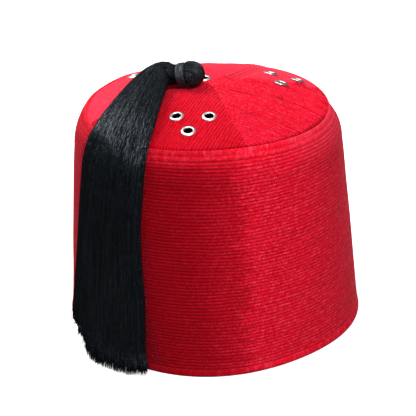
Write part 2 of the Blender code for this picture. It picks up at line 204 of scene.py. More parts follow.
# --- mesh building
def add_piece(name, points, groups, surface, slot, replaces=()):
    """A closed piece from points and groups of faces, each with its corners' places on the cloth."""
    points = np.asarray(points, dtype=float)
    volume = 0.0
    for faces, _ in groups:
        for corner in range(1, faces.shape[1] - 1):
            turn = np.cross(points[faces[:, corner]], points[faces[:, corner + 1]])
            volume += (points[faces[:, 0]] * turn).sum()
    if volume < 0:
        groups = [(faces[:, ::-1], None if place is None else place[:, ::-1]) for faces, place in groups]
    corners = [face for faces, _ in groups for face in faces.tolist()]
    mesh = bpy.data.meshes.new(name)
    mesh.from_pydata((points * MM).tolist(), [], corners)
    places = [np.zeros((*faces.shape, 3)) if place is None else place for faces, place in groups]
    attribute = mesh.attributes.new("place", "FLOAT_VECTOR", "CORNER")
    values = np.concatenate([place.reshape(-1, 3) for place in places]).astype(np.float32)
    attribute.data.foreach_set("vector", values.ravel())
    mesh.materials.append(surface)
    mesh.shade_smooth()
    piece = bpy.data.objects.new(name, mesh)
    bpy.context.scene.collection.objects.link(piece)
    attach(piece, "root")
    if replaces:
        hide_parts(*replaces)


def grid_faces(rows, columns, wrap_rows=False, wrap_columns=True):
    """Quads of a grid of points, with the row and column of each corner, not wrapped."""
    r = np.arange(rows if wrap_rows else rows - 1)
    c = np.arange(columns if wrap_columns else columns - 1)
    r, c = (part.ravel() for part in np.meshgrid(r, c, indexing="ij"))
    corner_rows = np.stack([r, r, r + 1, r + 1], -1)
    corner_columns = np.stack([c, c + 1, c + 1, c], -1)
    faces = (corner_rows % rows) * columns + corner_columns % columns
    return faces, corner_rows, corner_columns


def smooth_path(points, shares):
    """Points of the smooth curve through all the points, at shares of its way."""
    points = np.asarray(points, dtype=float)
    spans = len(points) - 1
    index = np.minimum((np.asarray(shares) * spans).astype(int), spans - 1)
    t = (shares * spans - index)[..., None]
    padded = np.concatenate([[2 * points[0] - points[1]], points, [2 * points[-1] - points[-2]]])
    p0, p1, p2, p3 = (padded[index + step] for step in range(4))
    return 0.5 * (2 * p1 + (p2 - p0) * t + (2 * p0 - 5 * p1 + 4 * p2 - p3) * t ** 2
                  + (3 * p1 - p0 - 3 * p2 + p3) * t ** 3)


def tubes(paths, radii, sides=3, along=None, across=None):
    """Points and faces of round threads along paths (threads, points, 3), capped."""
    threads, count, _ = paths.shape
    ahead = unit(np.gradient(paths, axis=1))
    guide = np.array([0.31, 0.42, 0.85])
    first = unit(np.cross(ahead, guide))
    second = np.cross(ahead, first)
    angles = ring_angles(sides)
    ring = (first[:, :, None] * np.cos(angles)[:, None] + second[:, :, None] * np.sin(angles)[:, None])
    points = paths[:, :, None] + ring * np.broadcast_to(radii, (threads, count))[..., None, None]
    faces, rows, _ = grid_faces(count, sides)
    starts = (np.arange(threads) * count * sides)[:, None, None]
    quads = (faces[None] + starts).reshape(-1, 4)
    along = np.linspace(0, 1, count) if along is None else along
    across = np.arange(threads)[:, None] if across is None else across
    along, across = (np.broadcast_to(part, (threads, count))[:, rows] for part in (along, across))
    place = np.stack([np.broadcast_to(np.arange(threads)[:, None, None] * 0.37, along.shape), along, across], -1)
    ends = np.stack([np.arange(sides)[::-1], np.arange(sides) + (count - 1) * sides])
    caps = (ends[None] + starts).reshape(-1, sides)
    return points.reshape(-1, 3), [(quads, place.reshape(-1, 4, 3)), (caps, None)]


def capped_rings(rings, scale, tip=None):
    """Points and groups of a stack of rings, closed by a fan at each end. scale: of its places."""
    count, sides, _ = rings.shape
    faces, rows, columns = grid_faces(count, sides)
    place = np.stack([columns, rows, columns], -1) * scale
    points = np.concatenate([rings.reshape(-1, 3), [rings[0].mean(0), rings[-1].mean(0) if tip is None else tip]])
    index, total = np.arange(sides), count * sides
    after, last = (index + 1) % sides, total - sides
    first = np.stack([after, index, np.full(sides, total)], -1)
    final = np.stack([index + last, after + last, np.full(sides, total + 1)], -1)
    return points, [(faces, place), (first, None), (final, None)]


def join_parts(parts):
    """One set of points and groups from several."""
    points, groups, start = [], [], 0
    for part_points, part_groups in parts:
        points.append(part_points)
        groups += [(faces + start, place) for faces, place in part_groups]
        start += len(part_points)
    return np.concatenate(points), groups


# --- materials
class Look:
    """A material, or a world, and short calls that add nodes to it."""

    def __init__(self, owner, shader="Principled BSDF"):
        self.owner = owner
        owner.use_nodes = True
        self.tree = owner.node_tree
        self.shader = self.tree.nodes[shader]

    def put(self, value, socket):
        if isinstance(value, bpy.types.NodeSocket):
            self.tree.links.new(value, socket)
        elif isinstance(value, tuple):
            socket.default_value = (*value[:3], 1.0)
        else:
            socket.default_value = value

    def node(self, kind, sockets=(), **settings):
        """A new node with these settings. sockets: the key and the value of its inputs."""
        made = self.tree.nodes.new(kind)
        for name, value in settings.items():
            setattr(made, name, value)
        for key, value in sockets:
            self.put(value, made.inputs[key])
        return made

    def math(self, operation, *values, clamp=False):
        return self.node("ShaderNodeMath", enumerate(values), operation=operation, use_clamp=clamp).outputs[0]

    def times(self, first, second, clamp=False):
        return self.math("MULTIPLY", first, second, clamp=clamp)

    def scaled(self, value, factor, offset, clamp=False):
        return self.math("MULTIPLY_ADD", value, factor, offset, clamp=clamp)

    def swing(self, base, value, amount, clamp=False):
        """The base, moved up and down by what the value differs from a half."""
        return self.scaled(self.math("SUBTRACT", value, 0.5), amount, base, clamp)

    def steps(self, value, low, high, to_low=0.0, to_high=1.0, kind="SMOOTHSTEP"):
        numbers = enumerate((value, low, high, to_low, to_high))
        return self.node("ShaderNodeMapRange", numbers, interpolation_type=kind).outputs[0]

    def mix(self, share, first, second, blend="MIX"):
        values = ((0, share), (6, first), (7, second))
        return self.node("ShaderNodeMix", values, data_type="RGBA", blend_type=blend).outputs[2]

    def split(self, vector):
        return self.node("ShaderNodeSeparateXYZ", ((0, vector),)).outputs

    def place(self):
        """The three numbers that add_piece keeps for each corner of a face."""
        return self.split(self.node("ShaderNodeAttribute", attribute_name="place").outputs["Vector"])

    def spot(self, kind="Object"):
        return self.node("ShaderNodeTexCoord").outputs[kind]

    def noise(self, vector, scale, detail=2.0, rough=0.55):
        names = ("Vector", "Scale", "Detail", "Roughness")
        return self.node("ShaderNodeTexNoise", zip(names, (vector, scale, detail, rough))).outputs[0]

    def streaks(self, first, second, shift=0.0, detail=2.0, rough=0.55):
        """Noise over two values, each given with how often it changes."""
        parts = (self.times(*first), self.times(*second), shift)
        return self.noise(self.node("ShaderNodeCombineXYZ", enumerate(parts)).outputs[0], 1.0, detail, rough)

    def bump(self, height, distance, strength=1.0, below=()):
        parts = (("Strength", strength), ("Distance", distance), ("Height", height), *below)
        return self.node("ShaderNodeBump", parts).outputs[0]

    def set(self, **values):
        for name, value in values.items():
            self.put(value, self.shader.inputs[name.replace("_", " ")])


def new_look(name):
    return Look(bpy.data.materials.new(name))


PAINTED_GROOVE_SHADE = (0.20, 0.0, 0.004)
CLOTH_RED = (0.62, 0.001, 0.012)
CLOTH_LIGHT = (0.92, 0.008, 0.038)
PAINTED_PILE_GLINT = (1.0, 0.075, 0.115)
PAINTED_PILE_SHEEN = (0.97, 0.055, 0.10)
NEEDLE_HOLE_SHADE = (0.10, 0.0, 0.004)
SEAM_SHADE = (0.10, 0.0, 0.003)
STITCH_LENGTH = 1.5                # mm from one stitch hole to the next
STITCH_SHIFT = 0.618               # of a stitch, from each row to the next
THREAD_DULL = (0.03, 0.036, 0.045)
THREAD_BRIGHT = (0.77, 0.87, 0.97)
METAL = (0.97, 0.97, 0.96)
METAL_WORN = (0.86, 0.85, 0.83)
PAINTED_METAL_SHADE = (0.03, 0.025, 0.025)

# Painted light and shade round the wall, as a factor on the cloth's colour. Columns: mm along, factor, share of
# painted sheen (PAINTED_PILE_SHEEN).
SIDE_PAINTED_LIGHT = (
    (0.0, (0.88, 0.9, 0.9), 0.0), (150.0, (0.86, 0.7, 0.8), 0.0), (200.0, (0.82, 0.08, 0.38), 0.7),
    (290.0, (0.66, 0.04, 0.28), 0.7), (320.0, (0.6, 0.1, 0.36), 0.0), (372.0, (0.42, 0.05, 0.2), 0.0),
    (405.0, (0.48, 0.08, 0.25), 0.0), (430.0, (0.72, 0.4, 0.55), 0.0), (438.0, (1.04, 0.9, 1.0), 0.0),
    (470.0, (1.04, 0.9, 1.0), 0.0), (512.0, (0.90, 0.8, 0.9), 0.0), (553.0, (0.88, 0.9, 0.9), 0.0),
)
# Painted light and shade on the crown's left, right, front and back quarters, which keep their own stretch of
# "along".
CROWN_PAINTED_LIGHT = (
    (-90.0, (1.0, 1.8, 1.6), 0.62), (-0.5, (1.0, 1.4, 1.3), 0.4), (0.5, (0.98, 1.2, 1.1), 0.0),
    (28.0, (0.92, 0.62, 0.87), 0.0), (100.0, (0.84, 0.42, 0.7), 0.0), (320.0, (0.63, 0.05, 0.3), 0.0),
    (360.0, (0.72, 0.2, 0.42), 0.0), (399.0, (0.89, 0.55, 0.75), 0.0), (401.0, (1.0, 1.3, 1.3), 0.0),
    (490.0, (1.0, 1.6, 1.5), 0.0),
)


def painted_light_ramp(look, tones, along):
    """The painted light and shade laid out along the rows: their colour and their share of painted sheen
    (PAINTED_PILE_SHEEN).
    """
    start, reach = tones[0][0], tones[-1][0] - tones[0][0]
    ramp = look.node("ShaderNodeValToRGB", ((0, look.scaled(along, 1 / reach, -start / reach)),))
    stops = ramp.color_ramp.elements
    for index, (spot, tone, lit) in enumerate(tones):
        position = (spot - start) / reach
        stop = stops[0] if index == 0 else stops.new(position)
        stop.position = position
        stop.color = (*tone, lit)
    return ramp.outputs


def velvet(name, tones, row_depth, sheen, lit_from=None, shoulder=0.0):
    """Red velvet sewn down in close rows. place: mm along the row, row number, sewn share, which above 1 is the
    share of painted shade along the seam and in the puckers.

    lit_from: the row above which the tones' share of painted sheen (PAINTED_PILE_SHEEN) counts, if not everywhere.
    shoulder: the share of painted sheen (PAINTED_PILE_SHEEN), a pale band on the shoulder's right side.
    """
    look = new_look(name)
    along, row, sewn = look.place()
    number = look.math("ROUND", row)
    groove = look.steps(look.math("PINGPONG", row, 0.5), 0.02, 0.28, 1.0, 0.0)
    groove = look.times(groove, look.math("MINIMUM", sewn, 1.0))
    stitch = look.scaled(along, 1 / STITCH_LENGTH, look.times(number, STITCH_SHIFT))
    hole = look.times(look.steps(look.math("PINGPONG", stitch, 0.5), 0.04, 0.26, 1.0, 0.0), groove)
    spot = look.spot()
    pile = look.noise(spot, 1400.0, 3.0, 0.65)
    clumps = look.noise(spot, 700.0, 2.0, 0.6)
    wale = look.streaks((along, 1.5), (row, 0.55))
    row_tone = look.steps(look.streaks((number, 7.31), (along, 0.045)), 0.3, 0.72)
    light = look.swing(look.swing(look.swing(0.47, pile, 1.6), clumps, 1.8), wale, 0.9)
    light = look.swing(light, look.noise(spot, 60.0, 2.0, 0.5), 0.7, clamp=True)
    colour = look.mix(light, CLOTH_RED, CLOTH_LIGHT)
    # Painted highlights: pale specks where the pile's fuzz would catch the light, kept out of the grooves.
    dashes = look.streaks((along, 0.4), (row, 1.1), 3.3, rough=0.6)
    pile_glint = look.steps(look.swing(look.noise(spot, 1400.0, 2.0, 0.7), dashes, 0.9), 0.46, 0.74, 0.0, 0.68)
    colour = look.mix(look.times(pile_glint, look.scaled(groove, -0.85, 1.0)), colour, PAINTED_PILE_GLINT)
    # Painted shade in the grooves between the sewn rows, deeper in some rows than in others.
    groove_shade = look.times(groove, look.scaled(row_tone, row_depth, 0.12 * row_depth))
    colour = look.mix(look.times(groove_shade, 0.62, clamp=True), colour, PAINTED_GROOVE_SHADE)
    # Painted shade in the stitch holes along the grooves.
    colour = look.mix(look.times(hole, 0.75), colour, NEEDLE_HOLE_SHADE)
    # Painted light and shade, and the share of painted sheen, laid out along the rows.
    tone, lit = painted_light_ramp(look, tones, look.swing(along, row_tone, 11.0))
    tone_share = 1.0
    if lit_from:
        # Painted sheen only above lit_from.
        lit = look.times(lit, look.steps(row, lit_from + 1.3, lit_from + 1.8))
        tone_share = look.steps(row, lit_from - 2, lit_from, 1.0, 0.65)
    # Painted sheen: a pale band on the right of the shoulder.
    if shoulder:
        right = look.math("ADD", look.steps(along, 455.0, 505.0), look.steps(along, 15.0, 60.0, 1.0, 0.0))
        lit = look.scaled(right, look.steps(row, lit_from - 8, lit_from - 1, 0.0, shoulder), lit)
    # Painted light and shade: the tone table multiplied into the colour, less above lit_from.
    colour = look.mix(tone_share, colour, tone, "MULTIPLY")
    # Painted sheen (PAINTED_PILE_SHEEN) mixed in, less in the grooves.
    colour = look.mix(look.times(lit, look.scaled(groove, -0.5, 1.0)), colour, PAINTED_PILE_SHEEN)
    # Painted shade along the seam and in the puckers, from the sewn channel above 1.
    colour = look.mix(look.steps(sewn, 1.0, 2.0, 0.0, 0.85), colour, SEAM_SHADE)
    relief = look.scaled(wale, 0.35, look.scaled(hole, -0.6, look.times(pile, 0.45)))
    look.set(Base_Color=colour, Roughness=0.82, Normal=look.bump(relief, 0.00035, 0.8), Sheen_Weight=sheen,
             Sheen_Roughness=0.34, Sheen_Tint=(1.0, 0.24, 0.32), Specular_IOR_Level=0.06)
    return look.owner


def thread_look(name, dark, light, roughness, sheen=0.0, fade=None):
    """Black silk thread: fine lengthwise fibres, each strand a little different.

    place: strand, share of its way, place across the tassel.
    fade: the heights in metres between which the colour falls to a painted shade on its underside.
    """
    look = new_look(name)
    strand, along, across = look.place()
    fibres = look.streaks((strand, 3.1), (along, 150.0))
    kinks = look.streaks((strand, 5.3), (along, 44.0), rough=0.6)
    glints = look.streaks((strand, 7.3), (along, 56.0), 9.1, 1.0)
    share = look.swing(look.streaks((strand, 11.7), (along, 2.0), detail=1.0), fibres, 0.6)
    share = look.swing(share, look.streaks((across, 1.1), (along, 9.0), 3.7), 1.6, clamp=True)
    colour = look.mix(look.steps(share, 0.3, 0.75), dark, light)
    if fade:
        # Painted shade: the winding darker below the fade heights.
        underside = tuple(0.25 * part for part in dark)
        colour = look.mix(look.steps(look.split(look.spot())[2], *fade), underside, colour)
    shine = look.swing(look.streaks((across, 1.5), (along, 14.0), 5.3, rough=0.6), glints, 1.5)
    # Painted highlight placement: the reflection's tint is cut back near the neck and below the bend, sooner on the
    # left, so that the highlight stops there; a little comes back lower down.
    shine = look.times(look.steps(shine, 0.42, 0.60), look.steps(along, 0.02, 0.12, 0.15, 1.0))
    tilted = look.scaled(across, -0.0013, look.math("ADD", along, 0.04))
    shine = look.times(shine, look.steps(tilted, 0.37, 0.48, 1.0, 0.5))
    shine = look.math("ADD", shine, look.steps(along, 0.48, 0.6, 0.0, 0.17))
    look.set(Base_Color=colour, Roughness=look.steps(glints, 0.42, 0.6, roughness + 0.3, roughness - 0.06),
             Normal=look.bump(fibres, 0.0002, 0.8, (("Normal", look.bump(kinks, 0.0013)),)),
             Specular_Tint=look.mix(shine, THREAD_DULL, THREAD_BRIGHT), Specular_IOR_Level=1.0,
             Sheen_Weight=sheen, Sheen_Roughness=0.4, Sheen_Tint=(0.55, 0.65, 0.85))
    return look.owner


def metal_look():
    look = new_look("eyelet_plating")
    wear = look.noise(look.spot(), 900.0, 3.0)
    colour = look.mix(look.steps(wear, 0.5, 0.8), METAL, METAL_WORN)
    # Painted shade: dark in the throat, and part way on the front half of the right eyelets.
    colour = look.mix(look.steps(look.place()[0], 0.2, 0.9), colour, PAINTED_METAL_SHADE)
    look.set(Base_Color=colour, Metallic=1.0, Roughness=look.scaled(wear, 0.2, 0.3),
             Normal=look.bump(wear, 0.00003, 0.5))
    return look.owner


# --- side wall
SIDE_COLUMNS = 256
ROW_SAMPLES = 5
HEM = 5.4
WELT = 3.7
ROWS = 62
ROW_DEPTH = 0.31
FOLD_AZIMUTH = radians(-78.5)
INNER_SIDE = -1.5                  # mm off the cloth: what lies lower is not dressed
MEAN_RADIUS = 88                   # for the mm along a row
# Where the stiff cloth leans out or in. Columns: azimuth, width in radians, mm up, reach, mm out.
LEANS = ((180.0, 0.7, 120.0, 38.0, 0.9), (131.0, 0.22, 149.0, 8.0, 1.1), (11.0, 0.32, 146.0, 9.0, -1.9),
         (-27.0, 0.42, 0.0, 34.0, 1.1), (0.0, 0.6, 62.0, 45.0, 0.25))


def build_side_wall(surface):
    """Hem, sewn rows, welt and the plain inner side, all from one table of rings."""
    azimuths = ring_angles(SIDE_COLUMNS)[None]
    last = SIDE_LENGTH - 2 * WELT
    pitch = (last - HEM) / ROWS
    # Columns: run up the cloth, height off it, row number, share sewn, share of the drift.
    table = [(0.0, -0.35, 0.3, 0, 0), (0.25, 0.15, 0.35, 0, 0), (0.9, 0.45, 0.4, 0, 0),
             (2.0, 0.5, 0.5, 0, 0), (3.2, 0.4, 0.5, 0, 0), (4.3, 0.15, 0.6, 0, 0),
             (5.0, -0.15, 0.8, 0.6, 0.3)]
    ridge = [0.0] + [sin(pi * k / ROW_SAMPLES) ** 0.75 for k in range(1, ROW_SAMPLES)]
    for row in range(ROWS):
        for k in range(ROW_SAMPLES):
            up = (row + k / ROW_SAMPLES) * pitch
            drift = sin(pi * up / (last - HEM)) ** 0.5
            table.append((HEM + up, ROW_DEPTH * (ridge[k] - 1), row + 1 + k / ROW_SAMPLES, 1, drift))
    table.append((last, -ROW_DEPTH, ROWS + 1, 1, 0))
    table += [(last + WELT * share, height, ROWS + 1 + share, 0.8, 0)
              for share, height in ((0.12, -0.1), (0.3, 0.1), (0.5, 0.16), (0.7, 0.12), (0.88, -0.1))]
    table.append((last + WELT, -0.4, ROWS + 2, 0.85, 0))
    table += [(last + WELT * (1 + share), height, ROWS + 2 + share * 0.5, 0.5, 0) for share, height in (
        (0.12, -0.1), (0.3, 0.14), (0.5, 0.26), (0.7, 0.3), (0.85, 0.22), (0.95, 0.0))]
    table += [(SIDE_LENGTH, height, ROWS + 2.5, 0, 0) for height in (-0.7, -1.8, -WALL)]
    table += [(SIDE_LENGTH * share, -WALL, 0.5, 0, 0) for share in np.linspace(0.97, 0.03, 16)]
    table += [(0.9, -WALL, 0.5, 0, 0), (0.2, 0.4 - WALL, 0.5, 0, 0), (0.0, 0.9 - WALL, 0.5, 0, 0)]
    run, height, number, sewn, drift = (np.array(part)[:, None] for part in zip(*table))
    around = azimuths / (2 * pi)
    slow = lattice_noise(around * 14, run / 26, 3, 14)
    quick = lattice_noise(around * 44, run / 7, 4, 44)
    shifted = run + drift * (0.95 * slow + 0.32 * quick)
    outside = height > INNER_SIDE
    tight = 1 + 0.65 * lattice_noise(around * 24, np.round(number) * 3.7, 5, 24)
    height = np.where(sewn > 0.9, height * tight, height)
    body = np.minimum(1.0, run / 20) * np.minimum(1.0, (SIDE_LENGTH - run) / 12)
    swell = 0.4 * lattice_noise(around * 9, run / 30, 6, 9) + 0.15
    lean = 0.5 * bell(run, 12)
    for middle, width, up, reach, out in LEANS:
        lean = lean + out * bell(from_azimuth(azimuths, radians(middle)), width) * bell(run - up, reach)
    lean = lean * np.minimum(1.0, (SIDE_LENGTH - run) / 1.2)
    from_fold = np.degrees(from_azimuth(azimuths, FOLD_AZIMUTH))
    fold = 0.55 * bell(from_fold, 2.4) + 0.5 * np.exp(np.where(from_fold < 0, from_fold / 9, -from_fold / 5))
    height = height + outside * (body * (swell + 0.75 * fold) + lean)
    points = side_point(shifted, np.broadcast_to(azimuths, shifted.shape), height)
    rows, columns = shifted.shape
    faces, corner_rows, corner_columns = grid_faces(rows, columns, wrap_rows=True)
    at = corner_rows % rows
    place = np.stack([corner_columns * (2 * pi * MEAN_RADIUS / SIDE_COLUMNS), number[at, 0], sewn[at, 0]], -1)
    place[corner_rows.max(1) > np.flatnonzero(height[:, 0] < INNER_SIDE)[0], :, 2] = 0
    points = points.reshape(-1, 3)
    points[:, 2] = np.maximum(points[:, 2], 0.0)
    add_piece("side_wall_cloth", points, [(faces, place)], surface, "red_velvet", ["side_wall"])


# --- crown
EYELET_SPOTS = (
    ("centre", 1.4, 150.0), ("front_1", 48.8, -112.7), ("front_2", 47.4, -88.6),
    ("front_3", 61.3, -101.1), ("right_1", 48.8, 7.7), ("right_2", 50.6, 32.5),
    ("right_3", 64.9, 21.6), ("left_1", 49.0, 128.2), ("left_2", 49.0, 152.4),
    ("left_3", 63.0, 140.3),
)
HOLE_RADIUS = 3.6
FLANGE = 4.7
RIB_PITCH = 2.06
RIB_SAMPLES = 4
RIB_TURN = radians(-27.0)
RIB_DEPTH = 0.46
UNDERSIDE_STEP = 5.0
QUARTER_RUN = 400.0                # mm along that set the front and back quarters apart in the look
QUARTER_ROWS = 60.0                # rows that set opposite quarters apart
DEEP_RIBS = (-5, -3, -1, 4)        # the right quarter's tighter rows, counted from its middle
CROWN_FOLDS = ((8.5, 3.2, 1.4), (15.0, 3.2, -1.3))  # in the back quarter: place, width, mm up
# Broad rises and hollows of the crown. Columns: x, y, width in x, width in y, mm up.
CROWN_RISES = ((-48, 38, 26, 26, 0.8), (30, 62, 24, 20, 0.8), (76, 16, 13, 18, -0.9))


def eyelet_matrix(distance, azimuth):
    """A frame on the cloth, square to it, as the frame's own eyelets have."""
    radius = distance / plan_factor(radians(azimuth), SEAM_HEIGHT)
    spot = (distance * cos(radians(azimuth)), distance * sin(radians(azimuth)), dome_height(radius))
    _, foot, normal = nearest_cloth(np.array(spot))
    turn = Vector((0.0, 0.0, 1.0)).rotation_difference(Vector(normal))
    return Matrix.Translation(Vector(foot)) @ turn.to_matrix().to_4x4()


EYELETS = {name: eyelet_matrix(distance, azimuth) for name, distance, azimuth in EYELET_SPOTS}


def on_dome(flat):
    """Points of the dome over plan points, and the normals there."""
    azimuth, far = polar(flat)
    factor = plan_factor(azimuth, SEAM_HEIGHT)
    radius = np.minimum(far / factor, SEAM_RADIUS)
    slope = dome_slope(radius) / factor
    normals = unit(np.stack([slope * np.cos(azimuth), slope * np.sin(azimuth), np.ones(len(flat))], -1))
    return np.concatenate([flat, dome_height(radius)[:, None]], -1), normals, radius


def off_axis(points, matrix):
    """An eyelet's middle, and the way to points from its axis."""
    centre, axis = np.array(matrix.translation), np.array(matrix.to_3x3().col[2])
    away = points - centre
    return centre, away - (away @ axis)[:, None] * axis


def from_eyelets(points):
    """Distance in the cloth from the nearest eyelet's middle, and which it is."""
    distances = np.array([np.linalg.norm(off_axis(points, matrix)[1], axis=1) for matrix in EYELETS.values()])
    return distances.min(0), distances.argmin(0)


def puckers(phase_x, phase_y):
    """0 to 1 in the long hollows that pull in the right and back quarters."""
    noise = lattice_noise(phase_y / 2.5 + 40, phase_x / 26 + 40, 14)
    noise = noise + 0.5 * lattice_noise(phase_y / 1.6 + 40, phase_x / 12 + 40, 15)
    right = smooth((phase_x - np.abs(phase_y) + 3) / 6) * smooth((phase_x - 8) / 8)
    back = smooth((phase_y - np.abs(phase_x) + 3) / 6) * 0.5
    return np.clip(-noise - 0.05, 0, 1) * np.maximum(right, back)


def in_side_quarters(x, y):
    """Whether a spot is in the left or right quarter; the mitres between quarters are ragged."""
    return np.abs(x) > np.abs(y) + 1.8 * plan_noise(x, y, 5, 16)


def crown_height(points, phase_x, phase_y):
    """Relief of the crown's cloth over its smooth dome."""
    wide = in_side_quarters(phase_x, phase_y)
    across = np.where(wide, phase_y, phase_x) / RIB_PITCH
    along = np.where(wide, phase_x, phase_y)
    number = np.round(across)
    from_stitch = np.abs(across - number)
    quarter = np.where(wide, np.where(phase_x > 0, 0, 1), np.where(phase_y > 0, 2, 3))
    strength = 1.15 + 0.85 * lattice_noise(number * 5.3 + quarter * 17, along / 14, 11) + 0.3 * (quarter == 0)
    strength = strength + 1.3 * (wide & (phase_x > 0) & np.isin(number, DEEP_RIBS))
    relief = -RIB_DEPTH * strength * (1 - np.sin(pi * from_stitch) ** 0.75)
    from_mitre = np.abs(np.abs(phase_x) - np.abs(phase_y)) / np.sqrt(2)
    relief = relief - 0.2 * bell(from_mitre, 1.6) - 0.8 * puckers(phase_x, phase_y)
    for middle, width, rise in CROWN_FOLDS:
        reach = smooth((phase_y - 3) / 6) * smooth((66 - phase_y) / 16)
        relief = relief + rise * reach * bell(phase_x - middle, width)
    x, y = points[:, 0], points[:, 1]
    relief = relief + 0.75 * plan_noise(x, y, 17, 12) + 0.22 * plan_noise(x, y, 6, 13) - 0.2
    for middle_x, middle_y, width_x, width_y, rise in CROWN_RISES:
        relief = relief + rise * bell(x - middle_x, width_x) * bell(y - middle_y, width_y)
    beyond_flange = from_eyelets(points)[0] - FLANGE
    return relief * smooth(beyond_flange / 3.0) + 0.22 * (1 - smooth(beyond_flange / 1.2))


def upward(points, faces):
    """The upward share of each face's normal, by its first three corners."""
    first, second, third = (points[faces[:, corner]] for corner in range(3))
    return np.cross(second - first, third - first)[:, 2]


def build_crown(surface):
    """The sewn top, holed for the eyelets, over a plain underside one thickness lower."""
    step = RIB_PITCH / RIB_SAMPLES
    edge = SEAM_RADIUS - SEAM_GAP
    half = int(edge * 1.05 / step) + 2
    index = np.arange(-half, half + 1)
    grid_x, grid_y = (part.ravel() * step for part in np.meshgrid(index, index, indexing="ij"))
    side = len(index)
    x, y = (part + 0.9 * plan_noise(grid_x, grid_y, 20, seed) for part, seed in ((grid_x, 21), (grid_y, 22)))
    flat = np.stack([x * cos(RIB_TURN) - y * sin(RIB_TURN), x * sin(RIB_TURN) + y * cos(RIB_TURN)], -1)
    azimuth, far = polar(flat)
    reach = edge * plan_factor(azimuth, SEAM_HEIGHT)
    beyond = far > reach - 0.35 * step
    flat = np.where(beyond[:, None], flat * (reach / np.maximum(far, 1e-6))[:, None], flat)
    points = on_dome(flat)[0]
    distance, which = from_eyelets(points)
    holed = distance < HOLE_RADIUS + 0.3 * step
    for number, matrix in enumerate(EYELETS.values()):
        rows = np.flatnonzero(holed & (which == number))
        centre, away = off_axis(points[rows], matrix)
        length = np.linalg.norm(away, axis=1, keepdims=True)
        away = np.where(length > 1e-3, away / np.maximum(length, 1e-3), [1.0, 0.0, 0.0])
        flat[rows] = (centre + away * HOLE_RADIUS)[:, :2]
    points, normals, radius = on_dome(flat)
    height = crown_height(points, grid_x, grid_y)
    inset = np.maximum(edge - radius, 0.0)
    shallow = smooth((flat @ [0.94, 0.34] - 53) / 14)
    fall = (1.7 - 1.2 * shallow) * (1 - smooth(inset / 2.2))
    height = height * smooth(inset / 0.9) - fall
    seam_shade = 0.75 * (1 - smooth(inset / 3.2)) + 0.25 * (1 - smooth(inset / 0.8))
    faces = grid_faces(side, side, wrap_columns=False)[0]
    faces = faces[~beyond[faces].all(1) & ~holed[faces].all(1)]
    middle_x, middle_y = grid_x[faces].mean(1), grid_y[faces].mean(1)
    wide = in_side_quarters(middle_x, middle_y)[:, None]
    across = np.where(wide, grid_y[faces], grid_x[faces]) / RIB_PITCH
    along = np.where(wide, grid_x[faces], grid_y[faces]) + np.where(wide, 0.0, QUARTER_RUN)
    quarter = np.where(wide[:, 0], middle_x > 0, middle_y > 0)[:, None] * QUARTER_ROWS
    seam_shade = seam_shade * (1 - 0.75 * smooth((-flat[:, 0] - 5) / 35)) * (1 - 0.7 * shallow)
    # Painted shade along the seam and in the pucker hollows, passed on in the sewn channel above 1; the front and
    # back quarters get shallower painted groove shade.
    shade = np.minimum(1, seam_shade + 0.42 * puckers(grid_x, grid_y))[faces]
    sewn = 1 + shade - np.where(wide, 0.0, 0.3) * np.maximum(0, 1 - 4 * shade)
    place = np.stack([along, across + quarter, sewn], -1)
    used, faces = np.unique(faces, return_inverse=True)
    faces = faces.reshape(-1, 4)
    top = points[used] + normals[used] * height[used][:, None]
    # The open edges, each a loop that the underside and a strip between them share.
    edges = np.stack([faces, np.roll(faces, -1, 1)], -1).reshape(-1, 2)
    key = np.sort(edges, 1) @ np.array([len(used), 1])
    _, first, counts = np.unique(key, return_index=True, return_counts=True)
    border = edges[first[counts == 1]]
    border_points = np.unique(border)
    base = points[used]
    mitre = np.concatenate([unit(base[:, :2]) * SEAM_MITRE[0], np.full((len(base), 1), SEAM_MITRE[1])], -1)
    low = base - np.where(beyond[used][:, None], mitre, normals[used]) * WALL
    renumber = np.full(len(used), -1)
    renumber[border_points] = np.arange(len(border_points)) + len(used)
    strip = np.stack([border[:, 1], border[:, 0], renumber[border[:, 0]], renumber[border[:, 1]]], -1)
    coarse = np.arange(-84, 85, UNDERSIDE_STEP)
    inner = np.stack([part.ravel() for part in np.meshgrid(coarse, coarse)], -1)
    azimuth, far = polar(inner)
    clear = from_eyelets(on_dome(inner)[0])[0] > HOLE_RADIUS + 1.6
    inner = inner[(far < (edge - 4.5) * plan_factor(azimuth, SEAM_HEIGHT)) & clear]
    flats = np.concatenate([low[border_points][:, :2], inner])
    pairs = (renumber[border] - len(used)).tolist()
    found = geometry.delaunay_2d_cdt([Vector(p) for p in flats], pairs, [], 1, 1e-7)
    origin = np.array([ids[0] if ids else -1 for ids in found[3]])
    under = origin[np.array([list(face) for face in found[2]])]
    inner_low, inner_normals, _ = on_dome(inner)
    places = np.concatenate([low[border_points], inner_low - inner_normals * WALL])
    under = under[from_eyelets(places[under].mean(1))[0] >= HOLE_RADIUS * 0.8]
    turned = upward(places, under) > 0
    top_turned = upward(top, faces).sum() > 0
    under = np.where((turned == top_turned)[:, None], under[:, ::-1], under) + len(used)
    groups = [(faces, place), (strip, None), (under, None)]
    add_piece("crown_cloth", np.concatenate([top, places]), groups, surface, "red_velvet", ["crown"])


# --- eyelets
EYELET_SIDES = 40
BORE = 2.75
ROLL_RADIUS = 3.35                 # of the ring that is the middle of the rolled edge
LEAN_RIGHT = radians(5.5)          # how far the right group's eyelets tip


